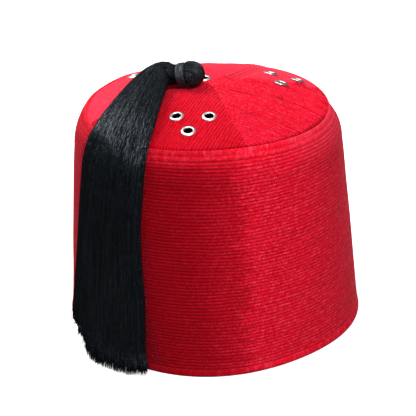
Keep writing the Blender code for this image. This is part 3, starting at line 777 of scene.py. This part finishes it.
def build_eyelets(surface):
    """Rolled flange, smooth throat and a clinched back."""
    # Columns: radius, height over the cloth.
    outline = [(BORE, -3.9), (BORE, -2.0), (BORE, 0.3)]
    outline += [(ROLL_RADIUS + 0.62 * cos(angle), 0.62 + 0.72 * sin(angle))
                for angle in np.radians((165, 140, 115, 90, 65, 45))]
    outline += [(4.05, 1.12), (4.35, 0.9), (4.52, 0.6), (4.58, 0.36), (4.52, 0.14), (4.35, 0.08), (3.5, 0.2),
                (3.3, -0.2), (3.3, -3.5), (3.6, -3.62), (4.2, -3.5), (4.3, -3.75), (4.0, -4.1), (3.3, -4.1)]
    profile = np.array(outline)
    angles = ring_angles(EYELET_SIDES)
    for number, (name, matrix) in enumerate(EYELETS.items()):
        generator = np.random.default_rng(50 + number)
        dents = 0.03 * lattice_noise(angles / (2 * pi) * 7, 0.5 + number, 60, 7)
        radius = profile[:, 0, None] + dents * (profile[:, 0, None] - BORE) / (FLANGE - BORE)
        local = np.stack([radius * np.cos(angles), radius * np.sin(angles),
                          np.broadcast_to(profile[:, 1, None], radius.shape)], -1).reshape(-1, 3)
        tip = np.radians(generator.uniform(-1.0, 1.0, 2))
        leaning = name.startswith("right")
        tip[1] -= LEAN_RIGHT * leaning
        local[:, 2] += local[:, 0] * tip[0] + local[:, 1] * tip[1]
        turn = np.array(matrix.to_3x3())
        points = local @ turn.T + np.array(matrix.translation)
        faces, rows, _ = grid_faces(len(profile), EYELET_SIDES, wrap_rows=True)
        # place: 1 in the throat, 0.5 on the front half of the right eyelets, where the metal gets painted shade.
        inside = np.isin(rows % len(profile), (0, 1, 2, len(profile) - 1))
        shaded_front = 0.5 * (np.sin(angles) < 0.2)[faces % EYELET_SIDES] * leaning
        place = np.maximum(inside, shaded_front)[..., None] * np.ones(3)
        add_piece(f"eyelet_{name}_rolled", points, [(faces, place)], surface, "eyelet_metal", [f"eyelet_{name}"])


# --- tassel
HEAD_CENTRE = np.array([-10.2, -10.8, 171.5])
NECK_CENTRE = np.array([-15.2, -9.5, 170.6])
HEAD_HALF_LENGTH = 9.1
HEAD_BLUNT = 2.3                   # 2 is an ellipsoid, more is blunter
HEAD_RADIUS = 7.8
NECK_RADIUS = 6.1
WRAP_WIDTH = 6.4
NECK_END = WRAP_WIDTH / 2 + 0.6
TASSEL_GAP = 0.35
EDGE_THICKNESS = 0.5
BEND_EASE = 0.06
TASSEL_AXIS = unit(HEAD_CENTRE - NECK_CENTRE)
HEAD_REACH = float(np.linalg.norm(HEAD_CENTRE - NECK_CENTRE))
NECK_SIDE = unit(np.cross(TASSEL_AXIS, [0.0, 0.0, 1.0]))
NECK_UP = np.cross(NECK_SIDE, TASSEL_AXIS)
# The skirt's middle. Columns: mm over the cloth from the crown's top, azimuth, half width, half
# thickness, height of its middle off the cloth.
SKIRT_ROUTE = (
    (27.0, -171.2, 9.6, 7.3, 8.5), (32.5, -163.0, 11.2, 7.6, 8.7), (42.5, -150.0, 13.8, 7.4, 8.5),
    (55.0, -140.4, 16.4, 6.7, 7.6), (69.3, -134.3, 19.6, 5.8, 6.8), (81.8, -131.4, 23.4, 5.1, 6.1),
    (93.2, -131.2, 25.2, 4.9, 5.6), (106.2, -132.2, 26.2, 4.9, 4.9), (128.0, -134.5, 28.0, 5.1, 4.0),
    (152.0, -135.4, 30.2, 5.2, 3.8), (176.0, -135.7, 33.0, 5.3, 4.0), (199.0, -136.8, 36.0, 5.6, 4.6),
    (213.0, -137.4, 38.2, 5.9, 5.4),
)
NECK_ROWS = 3
SKIRT_ROWS = 120
SOFT_ROWS = 18                     # rows up and down that ease a row
FRINGE_ROWS = 14
FRINGE_FLARE = (5.3, 1.8)          # mm that the outer and the inner side end further out
FLOOR_GAP = 0.35
FRINGE_CUT = 12.0                  # rows of the fringe that the skirt's left corner lacks


def across_axis(side, up):
    return NECK_SIDE * side[..., None] + NECK_UP * up[..., None]


def round_axis(along, angles, radius):
    """Points this far along the tassel's axis from the neck's middle, and this far off it."""
    along, radius = np.asarray(along)[..., None], np.asarray(radius)[..., None]
    return NECK_CENTRE + TASSEL_AXIS * along + across_axis(np.cos(angles), np.sin(angles)) * radius


def lifted(points, heights):
    """The points moved to these heights above the cloth."""
    _, feet, normals = nearest_cloth(points)
    return feet + normals * np.asarray(heights)[..., None]


def off_cloth(points, gap):
    """The points, with those that are nearer to the cloth than the gap moved out to it."""
    height, _, normals = nearest_cloth(points)
    return points + normals * np.maximum(0, gap - height)[..., None]


def soften(grid, reach, rise):
    """The grid with its rows eased into each other and lifted a little, but not at its ends."""
    offsets = np.arange(-SOFT_ROWS, SOFT_ROWS + 1)
    weights = np.exp(-0.5 * (offsets / reach) ** 2)
    rows, last = np.arange(len(grid)), len(grid) - 1
    eased = sum(grid[np.clip(rows + offset, 0, last)] * weight
                for offset, weight in zip(offsets, weights / weights.sum()))
    share = smooth(np.minimum(rows - NECK_ROWS, last - rows) / 14)[:, None, None]
    eased = grid * (1 - share) + eased * share
    return eased + nearest_cloth(eased)[2] * rise * share


def skirt_grids(columns):
    """Outer and inner points of the skirt, rows from the neck down to the floor."""
    middle = NECK_CENTRE - TASSEL_AXIS * NECK_END
    middles = [middle]
    sizes = [(NECK_RADIUS, NECK_RADIUS, nearest_cloth(middle)[0])]
    for distance, azimuth, *size in SKIRT_ROUTE:
        sizes.append(size)
        middles.append(lifted(on_cloth(distance, radians(azimuth)), size[2]))
    shares = np.linspace(0, 1, SKIRT_ROWS + 1)[1:]
    angles = pi * (1 - np.arange(columns) / (columns - 1))
    size = smooth_path(sizes, shares)
    centre = smooth_path(middles, shares)
    ahead = smooth_path(middles, np.minimum(shares + BEND_EASE, 1.0))
    behind = smooth_path(middles, np.maximum(shares - BEND_EASE, 0.0))
    across = unit(np.cross(nearest_cloth(centre)[2], unit(ahead - behind)))
    spots = centre[:, None] + across[:, None] * (size[:, :1] * np.cos(angles))[..., None]
    rise = size[:, 2:] + size[:, 1:2] * np.sin(angles)
    sag = size[:, 2:] - size[:, 1:2] * np.sin(angles) - EDGE_THICKNESS * (1 - np.sin(angles))
    outer = lifted(spots, np.maximum(rise, 3 * TASSEL_GAP))
    inner = lifted(spots, np.maximum(sag, TASSEL_GAP + 0.25))
    backs = np.linspace(0.15, NECK_END, NECK_ROWS)
    grids = []
    left = (1 - np.cos(angles)) / 2
    fan = (0.3 - 0.5 * left + 4.0 * (1 - left) ** 2.5)[:, None]
    down = (np.arange(1, FRINGE_ROWS + 1) / FRINGE_ROWS)[:, None, None]
    blend = smooth(shares * 40)[:, None, None]
    for sign, rows, most in zip((1, -1), (outer, inner), FRINGE_FLARE):
        neck = round_axis(-backs[:, None], sign * angles, NECK_RADIUS)
        straight = round_axis(-NECK_END - shares[:, None] * SKIRT_ROWS, sign * angles, NECK_RADIUS)
        rows = np.concatenate([neck, straight * (1 - blend) + rows * blend])
        eased = soften(rows, 8.0, 0.4 * sign)
        if sign < 0:
            near_neck = smooth((36 - np.arange(len(rows))) / 16)[:, None, None]
            eased = eased * near_neck + soften(rows, 1.5, -0.4) * (1 - near_neck)
        last = eased[-1]
        out = unit(nearest_cloth(last)[2] * np.array([1.0, 1.0, 0.0]))
        flare = (most * (1 - left ** 3) * (0.5 + 0.8 * left))[:, None]
        fringe = last + out * flare * down ** 1.4 + across[-1] * fan * down
        fringe[..., 2] = last[:, 2] + (FLOOR_GAP - last[:, 2]) * down[..., 0]
        grids.append(np.concatenate([eased, fringe]))
    return grids


def sample_grid(grid, rows, columns):
    """Points of a grid at fractional rows and columns."""
    rows = np.clip(rows, 0, grid.shape[0] - 1.001)
    columns = np.clip(columns, 0, grid.shape[1] - 1.001)
    r, c = rows.astype(int), columns.astype(int)
    fr, fc = (rows - r)[..., None], (columns - c)[..., None]
    return ((grid[r, c] * (1 - fc) + grid[r, c + 1] * fc) * (1 - fr)
            + (grid[r + 1, c] * (1 - fc) + grid[r + 1, c + 1] * fc) * fr)


def skirt_column(share):
    """The skirt's column at this place across it, -1 to 1."""
    return (pi - np.arccos(share)) / pi * (CORE_COLUMNS - 1)


def off_skirt(outer, normals, rows, columns, lift):
    """Points this far off the skirt."""
    return sample_grid(outer, rows, columns) + sample_grid(normals, rows, columns) * lift


CORE_COLUMNS = 151
CORE_SHORT = 4                     # rows that the body ends above the fringe
CORE_FOOT = 20                     # rows of the body that keep off the floor
CORE_BACK_STEP = 6                 # columns of the skirt for one of the body's back
STRAND_PIECES = 3
STRANDS = 520
STRAND_POINTS = 44
THREAD_LATTICE = 1009              # so wide that no two threads get the same noise
STRAND_ACROSS = 0.42               # the look's "across" for each column of the skirt


def build_skirt(surface, core_surface):
    """The skirt's body, and strands of its own length each that are combed along it."""
    outer, inner = skirt_grids(CORE_COLUMNS)
    normals = unit(np.cross(np.gradient(outer, axis=1), np.gradient(outer, axis=0)))
    middle = SKIRT_ROWS // 2, CORE_COLUMNS // 2
    if normals[middle] @ nearest_cloth(outer[middle])[2] < 0:
        normals = -normals
    total = len(outer) - 1
    number = np.arange(CORE_COLUMNS)[None]
    level = np.arange(total + 1)[:, None]
    combed = lattice_noise(number * 0.5 + 0.15 * np.sin(level / 9), level / 40, 31)
    locks = lattice_noise(number * 0.14, level / 55, 32)
    grown = np.minimum(1.0, level / 14)
    edge = np.minimum(1.0, np.minimum(number, CORE_COLUMNS - 1 - number) / 8)
    clumps = lattice_noise(number * 0.45, level / 30, 34)
    depth = -0.62 + (0.08 * combed + 0.3 * locks + 0.2 * clumps) * grown * edge
    depth = depth + 0.9 * bell(level - 14, 10) * edge
    front = (outer + normals * depth[..., None])[:-CORE_SHORT]
    back = inner[:-CORE_SHORT, ::-CORE_BACK_STEP]
    front[-1, :, 2] += 2.2 * lattice_noise(number[0] * 0.35, 3.3, 33)
    leftness = (1 + np.cos(pi * number[0] / (CORE_COLUMNS - 1))) / 2
    least = 1.2 + 16.0 * smooth((leftness - 0.51) / 0.2)
    for side, lowest in ((front, least), (back, least[::-CORE_BACK_STEP])):
        side[-CORE_FOOT:, :, 2] = np.maximum(side[-CORE_FOOT:, :, 2], lowest)
    body = capped_rings(np.concatenate([front, back[:, 1:-1]], 1), (0.9, 1 / total, STRAND_ACROSS))
    add_piece("tassel_skirt_body", *body, core_surface, "black_thread", ["tassel_skirt"])
    for piece in range(STRAND_PIECES):
        generator = np.random.default_rng(70 + piece)
        spread = generator.uniform(-1, 1, STRANDS)
        steps = np.interp(np.linspace(0, 1, STRAND_POINTS), (0, 0.2, 0.62, 1), (0, 0.22, 0.5, 1))[None]
        label = np.arange(STRANDS)[:, None] * 1.7 + piece * 0.4
        lengths = total - 0.2 - np.abs(generator.normal(0, 2.8, STRANDS))
        short = generator.uniform(size=STRANDS) < 0.12
        lengths = np.where(short, lengths - generator.uniform(1, 7, STRANDS), lengths)
        ragged = 1 + 0.5 * lattice_noise(spread * 24 + 60, 1.7, 37)
        lengths = lengths - FRINGE_CUT * ragged * smooth(((1 - spread) / 2 - 0.53) / 0.2)
        lengths = lengths - 2.0 * smooth(((1 + spread) / 2 - 0.8) / 0.2)
        tufts = np.clip(lattice_noise(spread * 14 + 40, 0.7, 36), 0, 1)
        lengths = lengths - (0.5 + 3.2 * ((1 - spread) / 2) ** 2) * tufts
        at_row = 0.5 + steps * (lengths[:, None] - 0.5)
        wander = 0.016 * lattice_noise(label, steps * 7, 80 + piece, THREAD_LATTICE)
        wander = wander + 0.008 * lattice_noise(label + 500, steps * 19, 90 + piece, THREAD_LATTICE)
        lock = 0.02 * lattice_noise(spread[:, None] * 13 + 20, steps * 1.5, 99)
        tips = smooth((at_row - (total - 16)) / 16)
        splay = tips * (generator.normal(0, 0.014, STRANDS) + 0.012 * np.sin(2 * pi * spread * 19))[:, None]
        bunch = spread[:, None] * 34 + 2.0 * lattice_noise(spread[:, None] * 9 + 20, steps * 5, 35)
        share = spread[:, None] * 0.992 + 0.0045 * np.sin(2 * pi * bunch)
        share = np.clip(share + (wander + lock) * np.minimum(1, at_row / 25) + splay, -1, 1)
        column = skirt_column(share)
        lift = generator.uniform(-0.2, 0.12, STRANDS)[:, None]
        lift = lift + 0.14 * lattice_noise(label + 900, steps * 11, 110 + piece, THREAD_LATTICE)
        lift = lift + 0.3 * lattice_noise(column * 0.14, at_row / 55, 32) * np.minimum(1, at_row / 14)
        lift = lift + 0.2 * lattice_noise(column * 0.45, at_row / 30, 34) * np.minimum(1, at_row / 10)
        lift = lift + 1.3 * bell(at_row - 14, 10)
        lift = lift + tips * generator.normal(0, 0.9, STRANDS)[:, None] - tips * 0.3
        lift = np.where(at_row < 6, np.minimum(lift, 0.5), lift)
        paths = off_skirt(outer, normals, at_row, column, lift[..., None])
        paths[..., 2] = np.maximum(paths[..., 2], 0.3)
        radii = generator.uniform(0.18, 0.31, STRANDS)[:, None] * (1 - 0.45 * smooth((steps - 0.94) / 0.06))
        points, groups = tubes(paths, radii, along=at_row / total, across=column * STRAND_ACROSS)
        add_piece(f"tassel_skirt_strands_{piece + 1}", points, groups, surface, "black_thread")
    return outer, normals


HEAD_SIDES = 72
HEAD_RINGS = 30
HEAD_THREADS = 170
HEAD_THREAD_POINTS = 48
HEAD_CORE_GAP = 0.45
HEAD_THREAD_GAP = 0.5
NECK_PART = 0.24                   # share of a thread's way that lies along the neck, at each end


def head_radius(along):
    """The head's radius this far along the tassel's axis."""
    along = np.asarray(along, dtype=float)
    left = np.clip((along - HEAD_REACH) / HEAD_HALF_LENGTH, 0, 1)
    swell = np.clip((along - NECK_END) / (HEAD_REACH - NECK_END), 0, 1)
    near = NECK_RADIUS + (HEAD_RADIUS - NECK_RADIUS) * np.sin(0.5 * pi * swell) ** 0.8
    return np.where(along > HEAD_REACH, HEAD_RADIUS * (1 - left ** HEAD_BLUNT) ** (1 / HEAD_BLUNT), near)


def build_head(surface, core_surface):
    """Threads laid over a round core, folded over its end and tied at the neck."""
    far = HEAD_REACH + HEAD_HALF_LENGTH
    shares = 1 - (1 - np.arange(HEAD_RINGS) / HEAD_RINGS) ** 1.7
    stations = np.concatenate([[0.15], NECK_END + (far - NECK_END) * shares])
    angles = ring_angles(HEAD_SIDES)
    radius = head_radius(stations)[:, None]
    groove = 0.16 * lattice_noise(angles[None] / (2 * pi) * 30, stations[:, None] / 9, 41, 30)
    radius = radius + groove * np.minimum(1, radius / 8)
    ring = off_cloth(round_axis(stations[:, None], angles, radius), HEAD_CORE_GAP)
    core = capped_rings(ring, (0.8, 1 / HEAD_RINGS, 0.0), NECK_CENTRE + TASSEL_AXIS * far)
    add_piece("tassel_head_core", *core, core_surface, "black_thread", ["tassel_head"])
    generator = np.random.default_rng(140)
    number = np.arange(HEAD_THREADS)[:, None]
    offset = np.sin(generator.uniform(-0.5 * pi, 0.5 * pi, HEAD_THREADS))[:, None] * 0.985
    t = np.linspace(0, 1, HEAD_THREAD_POINTS)[None]
    over = np.clip((t - NECK_PART) / (1 - 2 * NECK_PART), 0, 1) * pi
    drift = offset + 0.05 * lattice_noise(number * 1.3, t * 5, 142, THREAD_LATTICE)
    drift = np.clip(drift, -0.995, 0.995)
    root = np.sqrt(1 - drift ** 2)
    lift = generator.uniform(-0.3, 0.22, HEAD_THREADS)[:, None]
    lift = lift + 0.1 * lattice_noise(number * 1.9, t * 9, 143, THREAD_LATTICE)
    lift = lift + 0.5 * lattice_noise(offset * 5 + 40, t * 6, 144) * np.minimum(1, 1.6 * root)
    lift = lift * np.minimum(1, 0.3 + 1.6 * root)
    ahead = root * np.sin(over)
    blunt = (ahead ** HEAD_BLUNT + (1 - ahead ** 2) ** (HEAD_BLUNT / 2)) ** (-1 / HEAD_BLUNT)
    out = across_axis(drift * np.ones_like(over) * blunt, root * np.cos(over) * blunt)
    round_part = HEAD_CENTRE + TASSEL_AXIS * (ahead * blunt * (HEAD_HALF_LENGTH + lift))[..., None]
    round_part = round_part + out * (HEAD_RADIUS + lift)[..., None]
    near = np.minimum(t, 1 - t) / NECK_PART
    along = NECK_END * 0.4 + (HEAD_REACH - NECK_END * 0.4) * np.clip(near, 0, 1)
    straight = NECK_CENTRE + TASSEL_AXIS * along[..., None] + unit(out) * (head_radius(along) + lift)[..., None]
    paths = off_cloth(np.where((near < 1)[..., None], straight, round_part), HEAD_THREAD_GAP)
    radii = generator.uniform(0.26, 0.46, HEAD_THREADS)[:, None]
    part = tubes(paths, radii, along=0.5 + t * 0.2, across=drift * 9 + 50)
    add_piece("tassel_head_threads", *part, surface, "black_thread")


def build_wrap(surface):
    """Thread wound round the neck, over a short sleeve that fills between its turns."""
    turns, per_turn = 11, 40
    t = np.linspace(0, 1, turns * per_turn + 1)
    angle = 2 * pi * turns * t
    slide = 0.45 + (t - 0.5) * (WRAP_WIDTH - 1.6) + 0.06 * lattice_noise(t * 60, 0.4, 150)
    reach = NECK_RADIUS + 1.0 + 0.12 * np.sin(pi * t) + 0.05 * lattice_noise(t * 40, 2.2, 151)
    path = round_axis(slide, angle, reach)
    second = round_axis((0.5 - t) * (WRAP_WIDTH - 2.4) + 0.5, angle * 0.55 + 1, reach + 0.28)
    wound = tubes(np.stack([path, second]), 0.31, 6)
    sides = 40
    angles = ring_angles(sides)
    profile = np.array([(0.15, -1.0), (0.55, -0.96), (0.65, 0.0), (0.55, 0.96), (0.15, 1.0)])
    profile = profile * np.array([1.0, WRAP_WIDTH / 2 - 0.6]) + np.array([NECK_RADIUS, 0.45])
    sleeve = round_axis(profile[:, 1, None], angles, profile[:, 0, None])
    faces = grid_faces(len(profile), sides, wrap_rows=True)[0]
    parts = join_parts([wound, (sleeve.reshape(-1, 3), [(faces, None)])])
    add_piece("tassel_neck_winding", *parts, surface, "black_lashing", ["tassel_neck_wrap"])


LOOP_TURNS = 6.5
LOOP_ROUTE = ((-5.4, -5.0, 167.3), (-4.2, -3.2, 166.4), (-3.0, -1.6, 166.2), (-2.0, -0.3, 165.8),
              (-1.4, 0.5, 164.9), (-1.2, 0.7, 163.4), (-1.2, 0.7, 160.0))


def build_loop(surface):
    """Two threads twisted together, down through the middle eyelet to a knot."""
    t = np.linspace(0, 1, 90)
    centre = smooth_path(LOOP_ROUTE, t)
    along = unit(np.gradient(centre, axis=0))
    side = unit(np.cross(along, [0.9, -0.3, 0.1]))
    up = np.cross(along, side)
    angle = (np.array([[0.0], [pi]]) + 2 * pi * LOOP_TURNS * t)[..., None]
    twisted = tubes(centre + (side * np.cos(angle) + up * np.sin(angle)) * 0.42, 0.44, 8)
    s = 2 * pi * np.linspace(0, 1, 120)
    far = 2.2 + 0.9 * np.cos(3 * s)
    knot = np.stack([far * np.cos(2 * s), far * np.sin(2 * s), -2.6 + 1.3 * np.sin(3 * s)], -1)
    tied = tubes((np.array(LOOP_ROUTE[-1]) + knot)[None], 0.85, 8)
    add_piece("tassel_loop_twist", *join_parts([twisted, tied]), surface, "black_thread", ["tassel_hanging_loop"])


# --- stray hairs
def build_hairs(surface, outer, normals):
    """Loose threads that stand off the skirt; each is a route of grid rows and columns."""
    # Columns: row, share across from the left edge, mm off the skirt.
    routes = (
        ((55, 0.99, 0.2), (70, 1.01, 0.8), (90, 1.03, 1.2), (110, 1.02, 1.0), (125, 1.0, 0.4)),
        ((95, 0.98, 0.1), (105, 1.03, 0.8), (114, 1.10, 1.0), (121, 1.18, 1.2), (126, 1.27, 1.2)),
        ((100, 0.97, 0.2), (109, 1.01, 0.8), (117, 1.05, 1.0), (123, 1.10, 1.1), (127, 1.13, 1.2)),
        ((40, 0.01, 0.2), (55, -0.02, 1.2), (64, -0.03, 2.0), (74, -0.02, 1.0), (84, 0.01, 0.2)),
        ((20, 0.5, 0.2), (32, 0.56, 0.9), (44, 0.6, 0.9), (56, 0.66, 0.3)),
        ((14, 0.35, 0.2), (26, 0.3, 0.8), (40, 0.25, 0.9), (52, 0.24, 0.3)),
        ((60, 0.3, 0.2), (75, 0.36, 0.8), (90, 0.4, 0.7), (105, 0.46, 0.2)),
        ((115, 0.1, 0.2), (124, 0.05, 1.0), (131, 0.0, 1.6), (136, -0.04, 1.8)),
    )
    paths = []
    for route in routes:
        row, across, lift = smooth_path(route, np.linspace(0, 1, 40)).T
        share = np.clip(across, 0, 1)
        points = off_skirt(outer, normals, row, skirt_column(2 * share - 1), lift[:, None])
        left, right = (sample_grid(outer, row, np.full(len(row), column)) for column in (0.0, CORE_COLUMNS - 1.0))
        points = points + (right - left) * (across - share)[:, None]
        height, feet, cloth_normals = nearest_cloth(points)
        paths.append(feet + cloth_normals * np.clip(height, TASSEL_GAP, 11.0)[:, None])
    add_piece("tassel_stray_threads", *tubes(np.array(paths), 0.16, 4), surface, "black_thread")


# --- light and view
CAMERA_ELEVATION = 0.4489111
CAMERA_DISTANCE = 877.2
CAMERA_ROLL = -0.0374324
CAMERA_TURN = (0.0020418, -0.0003108)
CAMERA_AIM = 72.0
LENS = 112.79
WHITE = (1.0, 1.0, 1.0)
# Columns: name, place, aim, size (in metres), power, colour.
LIGHTS = (
    ("top_softbox", (-0.42, 0.12, 1.32), (0.0, 0.0, 0.15), 0.55, 9.0, WHITE),
    ("front_softbox", (0.22, -0.95, 1.15), (0.0, 0.0, 0.1), 0.6, 14.5, WHITE),
    ("low_softbox", (0.5, -1.5, 0.45), (0.0, 0.0, 0.08), 0.6, 3.0, WHITE),
    ("left_softbox", (-0.95, 0.55, 1.25), (0.0, 0.0, 0.12), 0.35, 8.0, (0.92, 0.96, 1.0)),
)


def add_object(name, data):
    made = bpy.data.objects.new(name, data)
    bpy.context.scene.collection.objects.link(made)
    return made


def build_camera():
    """The photograph's own view, from a little above the crown."""
    camera = add_object("camera", bpy.data.cameras.new("camera"))
    camera.data.lens = LENS
    camera.data.sensor_width = 36.0
    camera.data.clip_start = 0.01
    place = Vector((0.0, -CAMERA_DISTANCE * cos(CAMERA_ELEVATION),
                    CAMERA_AIM + CAMERA_DISTANCE * sin(CAMERA_ELEVATION)))
    pose = Matrix.Translation(place * MM)
    for angle, axis in ((pi / 2 - CAMERA_ELEVATION, "X"), (CAMERA_TURN[0], "Y"), (CAMERA_TURN[1], "X"),
                        (CAMERA_ROLL, "Z")):
        pose = pose @ Matrix.Rotation(angle, 4, axis)
    camera.matrix_world = pose
    bpy.context.scene.camera = camera


def add_light(name, place, aim, size, power, colour):
    data = bpy.data.lights.new(name, "AREA")
    data.shape, data.size, data.energy, data.color = "DISK", size, power, colour
    towards = Vector(aim) - Vector(place)
    turn = towards.to_track_quat("-Z", "Y").to_matrix().to_4x4()
    add_object(name, data).matrix_world = Matrix.Translation(Vector(place)) @ turn


def build_room():
    """Even light from overhead that fades towards the ground and behind the hat."""
    room = Look(bpy.data.worlds.new("soft_room"), "Background")
    _, back, up = room.split(room.spot("Generated"))
    fade = room.steps(up, -0.4, 0.9, 0.10, 0.42, "LINEAR")
    room.set(Color=WHITE, Strength=room.times(fade, room.steps(back, -0.1, 0.8, 1.0, 0.45, "LINEAR")))
    bpy.context.scene.world = room.owner


def build_floor():
    """A white sheet that glows beyond the hat's rim and is hidden from the hat's bounced and reflected light."""
    look = new_look("white_sweep")
    grain = look.noise(look.spot(), 3.0)
    from_middle = look.node("ShaderNodeVectorMath", ((0, look.spot()),), operation="LENGTH").outputs["Value"]
    look.set(Base_Color=look.mix(grain, (0.90, 0.91, 0.92), (0.93, 0.93, 0.93)), Roughness=0.9,
             Specular_IOR_Level=0.05, Emission_Color=WHITE,
             Emission_Strength=look.steps(from_middle, 0.092, 0.096, 0.0, 0.55))
    mesh = bpy.data.meshes.new("floor")
    wide = 30.0
    mesh.from_pydata([(-wide, -wide, 0), (wide, -wide, 0), (wide, wide, 0), (-wide, wide, 0)], [], [(0, 1, 2, 3)])
    mesh.materials.append(look.owner)
    floor = add_object("floor", mesh)
    floor.visible_diffuse = False
    floor.visible_glossy = False


def main():
    build_camera()
    build_floor()
    build_room()
    for light in LIGHTS:
        add_light(*light)
    bpy.context.scene.view_settings.view_transform = "Standard"
    side_cloth = velvet("side_velvet", SIDE_PAINTED_LIGHT, 0.66, 0.3, ROWS + 1, 0.28)
    crown_cloth = velvet("crown_velvet", CROWN_PAINTED_LIGHT, 1.45, 0.38)
    silk = thread_look("black_silk", (0.0012, 0.0018, 0.0028), (0.0046, 0.0062, 0.0090), 0.26)
    folded = thread_look("black_silk_folded", (0.0012, 0.0018, 0.0028), (0.005, 0.0065, 0.009), 0.42)
    silk_core = thread_look("black_silk_core", (0.001, 0.0014, 0.0022), (0.004, 0.0054, 0.008), 0.32)
    lashing = thread_look("black_winding", (0.018, 0.021, 0.024), (0.052, 0.057, 0.064), 0.42, 0.12, (0.166, 0.175))
    build_side_wall(side_cloth)
    build_crown(crown_cloth)
    build_eyelets(metal_look())
    outer, normals = build_skirt(silk, silk_core)
    build_head(folded, silk_core)
    build_wrap(lashing)
    build_loop(silk)
    build_hairs(silk_core, outer, normals)


main()
